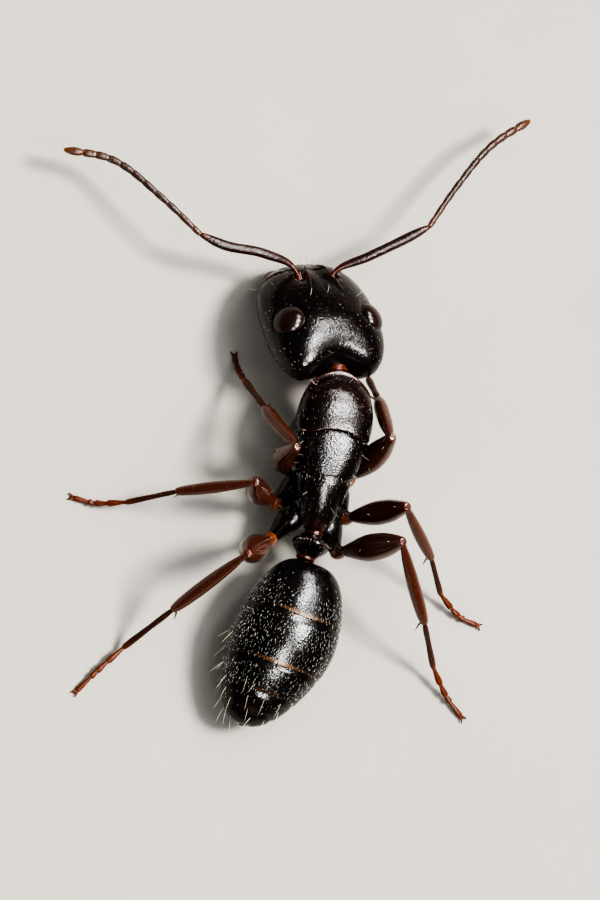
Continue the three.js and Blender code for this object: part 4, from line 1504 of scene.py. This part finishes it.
def build_lights():
    """A faint room, a wide soft light, a strip of reflections down the back, and two suns."""
    world = bpy.data.worlds.new("pale room")
    world.use_nodes = True
    background = world.node_tree.nodes["Background"].inputs
    background["Color"].default_value = (*ROOM, 1)
    background["Strength"].default_value = 0.05
    bpy.context.scene.world = world
    soft_light("wide_light", (-16, -4, 48), (24, 56), 1.2, WARM)
    for number, (lean, swing, size, brightness) in enumerate(STRIP_LIGHTS):
        ahead = LIGHT_DISTANCE * math.sin(swing * DEGREE)
        flat = LIGHT_DISTANCE * math.cos(swing * DEGREE)
        place = (-flat * math.sin(lean * DEGREE), ahead, flat * math.cos(lean * DEGREE))
        strip = soft_light(f"strip_light_{number}", place, size, brightness, NEUTRAL)
        strip.visible_diffuse = False
    wide_sun("key_light", (-26, -9, 54), 14, 6.0, SUN)
    wide_sun("fill_light", (6, 4, 54), 130, 1.2, SKY)


def build_camera():
    """The camera, at its distance from the target and turned to the view's axes."""
    camera = bpy.data.cameras.new("camera")
    camera.sensor_width = SENSOR
    camera.lens = VIEW_DISTANCE * PIXELS_PER_MM * SENSOR / PICTURE[1]
    camera.clip_start, camera.clip_end = 0.002, 20.0
    right, up, back = view_axes()
    place = VIEW_TARGET + back * VIEW_DISTANCE
    bpy.context.scene.camera = set_in_scene("camera", camera, place, right, up, back)
    bpy.context.scene.view_settings.look = "AgX - Very High Contrast"


# ---------------------------------------------------------------- add-on

def length_property(name, description, millimetres):
    """A length that a user may change, kept in metres."""
    return bpy.props.FloatProperty(
        name=name, description=description, default=millimetres * MM, min=0.0, unit="LENGTH", precision=6,
    )


def colour_property(name, description, colour):
    """A colour that a user may change."""
    return bpy.props.FloatVectorProperty(
        name=name, description=description, default=colour, min=0.0, max=1.0, size=3, subtype="COLOR",
    )


class AntSizes(bpy.types.PropertyGroup):
    """The sizes that a user would change."""

    head_length: length_property("Head length", "Mouth to hind corners", 3.02)
    head_width: length_property("Head width", "Across the hind half", 2.8)
    eye_length: length_property("Eye length", "Front to back", 0.7)
    eye_width: length_property("Eye width", "Across the eye", 0.73)
    scape_thickness: length_property("Scape thickness", "First joint of the feeler", 0.225)
    whip_thickness: length_property("Whip thickness", "Outer joints of the feeler", 0.19)
    gaster_length: length_property("Gaster length", "Waist to tip", 4.0)
    gaster_width: length_property("Gaster width", "At its widest", 2.42)
    hair_thickness: length_property("Hair thickness", "Short hairs at their root", 0.0125)
    coat_length: length_property("Coat length", "Short hairs of the gaster", 0.064)
    bristle_length: length_property("Bristle length", "Long hairs of the gaster", 0.4)


class AntColours(bpy.types.PropertyGroup):
    """The colours that a user would change."""

    shell: colour_property("Shell", "Black of head, trunk and gaster", (0.0045, 0.004, 0.004))
    rust: colour_property("Rust", "Red-brown of collar, neck and hinges", (0.085, 0.015, 0.006))
    jaw: colour_property("Jaws", "Dark red of the jaws", (0.03, 0.007, 0.004))
    leg: colour_property("Legs", "Mahogany of thighs and shins", (0.07, 0.0195, 0.0105))
    leg_end: colour_property("Leg ends", "Redder ends of thighs and shins", (0.075, 0.0165, 0.007))
    trochanter: colour_property("Rings", "Orange of the rings at the hips", (0.24, 0.062, 0.015))
    tarsus: colour_property("Feet", "Orange-red of the feet", (0.11, 0.025, 0.009))
    tarsus_end: colour_property("Foot starts", "Darker near end of the feet", (0.046, 0.0135, 0.0068))
    feeler: colour_property("Scapes", "Dark red of the first feeler joint", (0.022, 0.007, 0.0045))
    whip: colour_property("Whips", "Grey-brown of the feelers", (0.036, 0.0165, 0.0105))
    feeler_tip: colour_property("Feeler tips", "Orange-brown of the last joints", (0.15, 0.045, 0.014))
    eye: colour_property("Eyes", "Dark brown of the eyes", (0.026, 0.0105, 0.0072))
    band: colour_property("Bands", "Golden rear edge of the gaster rings", (0.13, 0.062, 0.022))
    hair: colour_property("Hairs", "Pale straw of the short hairs", (0.88, 0.86, 0.8))
    down: colour_property("Down", "Golden brown of the short hairs on the legs", (0.3, 0.16, 0.075))
    bristle: colour_property("Bristles", "Golden straw of the long hairs", (0.8, 0.72, 0.56))
    floor: colour_property("Floor", "Pale card under the ant", (0.35, 0.333, 0.3))


def hair_materials(colours):
    """The finishes of the short hairs, of the down on the legs and of the bristles."""
    kinds = {"pale hair": colours.hair, "golden down": colours.down, "straw bristle": colours.bristle}
    return [hair_finish(name, colour) for name, colour in kinds.items()]


class ANT_OT_head(bpy.types.Operator):
    """Build the head capsule with its ridges, pits and seams."""

    bl_idname = "ant.head"
    bl_label = "Head"

    def execute(self, context):
        build_head(context.scene.ant_sizes, context.scene.ant_colours)
        return {"FINISHED"}


class ANT_OT_eyes(bpy.types.Operator):
    """Build the two faceted eyes."""

    bl_idname = "ant.eyes"
    bl_label = "Eyes"

    def execute(self, context):
        build_eyes(context.scene.ant_sizes, context.scene.ant_colours)
        return {"FINISHED"}


class ANT_OT_mouth(bpy.types.Operator):
    """Build the toothed jaws and the small parts of the mouth."""

    bl_idname = "ant.mouth"
    bl_label = "Mouth"

    def execute(self, context):
        build_mouth(context.scene.ant_colours)
        return {"FINISHED"}


class ANT_OT_feelers(bpy.types.Operator):
    """Build the two jointed feelers."""

    bl_idname = "ant.feelers"
    bl_label = "Feelers"

    def execute(self, context):
        build_feelers(context.scene.ant_sizes, context.scene.ant_colours)
        return {"FINISHED"}


class ANT_OT_trunk(bpy.types.Operator):
    """Build the plates of the trunk and the neck."""

    bl_idname = "ant.trunk"
    bl_label = "Trunk"

    def execute(self, context):
        build_trunk(context.scene.ant_colours)
        return {"FINISHED"}


class ANT_OT_waist(bpy.types.Operator):
    """Build the waist with its upright scale."""

    bl_idname = "ant.waist"
    bl_label = "Waist"

    def execute(self, context):
        build_waist(context.scene.ant_colours)
        return {"FINISHED"}


class ANT_OT_gaster(bpy.types.Operator):
    """Build the five rings of the gaster."""

    bl_idname = "ant.gaster"
    bl_label = "Gaster"

    def execute(self, context):
        build_gaster(context.scene.ant_sizes, context.scene.ant_colours)
        return {"FINISHED"}


class ANT_OT_legs(bpy.types.Operator):
    """Build the six legs with their spurs and claws."""

    bl_idname = "ant.legs"
    bl_label = "Legs"

    def execute(self, context):
        build_legs(context.scene.ant_colours)
        return {"FINISHED"}


class ANT_OT_coat(bpy.types.Operator):
    """Grow the short hairs and the bristles of every part."""

    bl_idname = "ant.coat"
    bl_label = "Hairs"

    def execute(self, context):
        sizes = context.scene.ant_sizes
        hair, down, bristle = hair_materials(context.scene.ant_colours)
        head_coat(sizes, hair, bristle)
        trunk_coat(sizes, hair, bristle)
        gaster_coat(sizes, hair, bristle)
        leg_coat(sizes, down, bristle)
        feeler_coat(sizes, hair)
        return {"FINISHED"}


class ANT_OT_stage(bpy.types.Operator):
    """Set up the floor, the lights and the camera."""

    bl_idname = "ant.stage"
    bl_label = "Stage"

    def execute(self, context):
        build_floor(context.scene.ant_colours)
        build_lights()
        build_camera()
        return {"FINISHED"}


PARTS = (
    ANT_OT_head, ANT_OT_eyes, ANT_OT_mouth, ANT_OT_feelers, ANT_OT_trunk, ANT_OT_waist,
    ANT_OT_gaster, ANT_OT_legs, ANT_OT_coat, ANT_OT_stage,
)


class ANT_PT_model(bpy.types.Panel):
    """Lists the sizes, the colours and one button for each part."""

    bl_label = "Carpenter ant"
    bl_idname = "ANT_PT_model"
    bl_space_type = "VIEW_3D"
    bl_region_type = "UI"
    bl_category = "Ant"

    def draw(self, context):
        for group in (context.scene.ant_sizes, context.scene.ant_colours):
            box = self.layout.box()
            for key in group.__annotations__:
                box.prop(group, key)
        for part in PARTS:
            self.layout.operator(part.bl_idname)


CLASSES = (AntSizes, AntColours, *PARTS, ANT_PT_model)


def register():
    """Add the classes, and the sizes and colours of every scene."""
    for item in CLASSES:
        bpy.utils.register_class(item)
    bpy.types.Scene.ant_sizes = bpy.props.PointerProperty(type=AntSizes)
    bpy.types.Scene.ant_colours = bpy.props.PointerProperty(type=AntColours)


def unregister():
    """Take away what register added."""
    del bpy.types.Scene.ant_colours
    del bpy.types.Scene.ant_sizes
    for item in reversed(CLASSES):
        bpy.utils.unregister_class(item)


def main():
    """Build every part and the stage."""
    register()
    bpy.ops.ant.head()
    bpy.ops.ant.eyes()
    bpy.ops.ant.mouth()
    bpy.ops.ant.feelers()
    bpy.ops.ant.trunk()
    bpy.ops.ant.waist()
    bpy.ops.ant.gaster()
    bpy.ops.ant.legs()
    bpy.ops.ant.coat()
    bpy.ops.ant.stage()


if __name__ == "__main__":
    main()
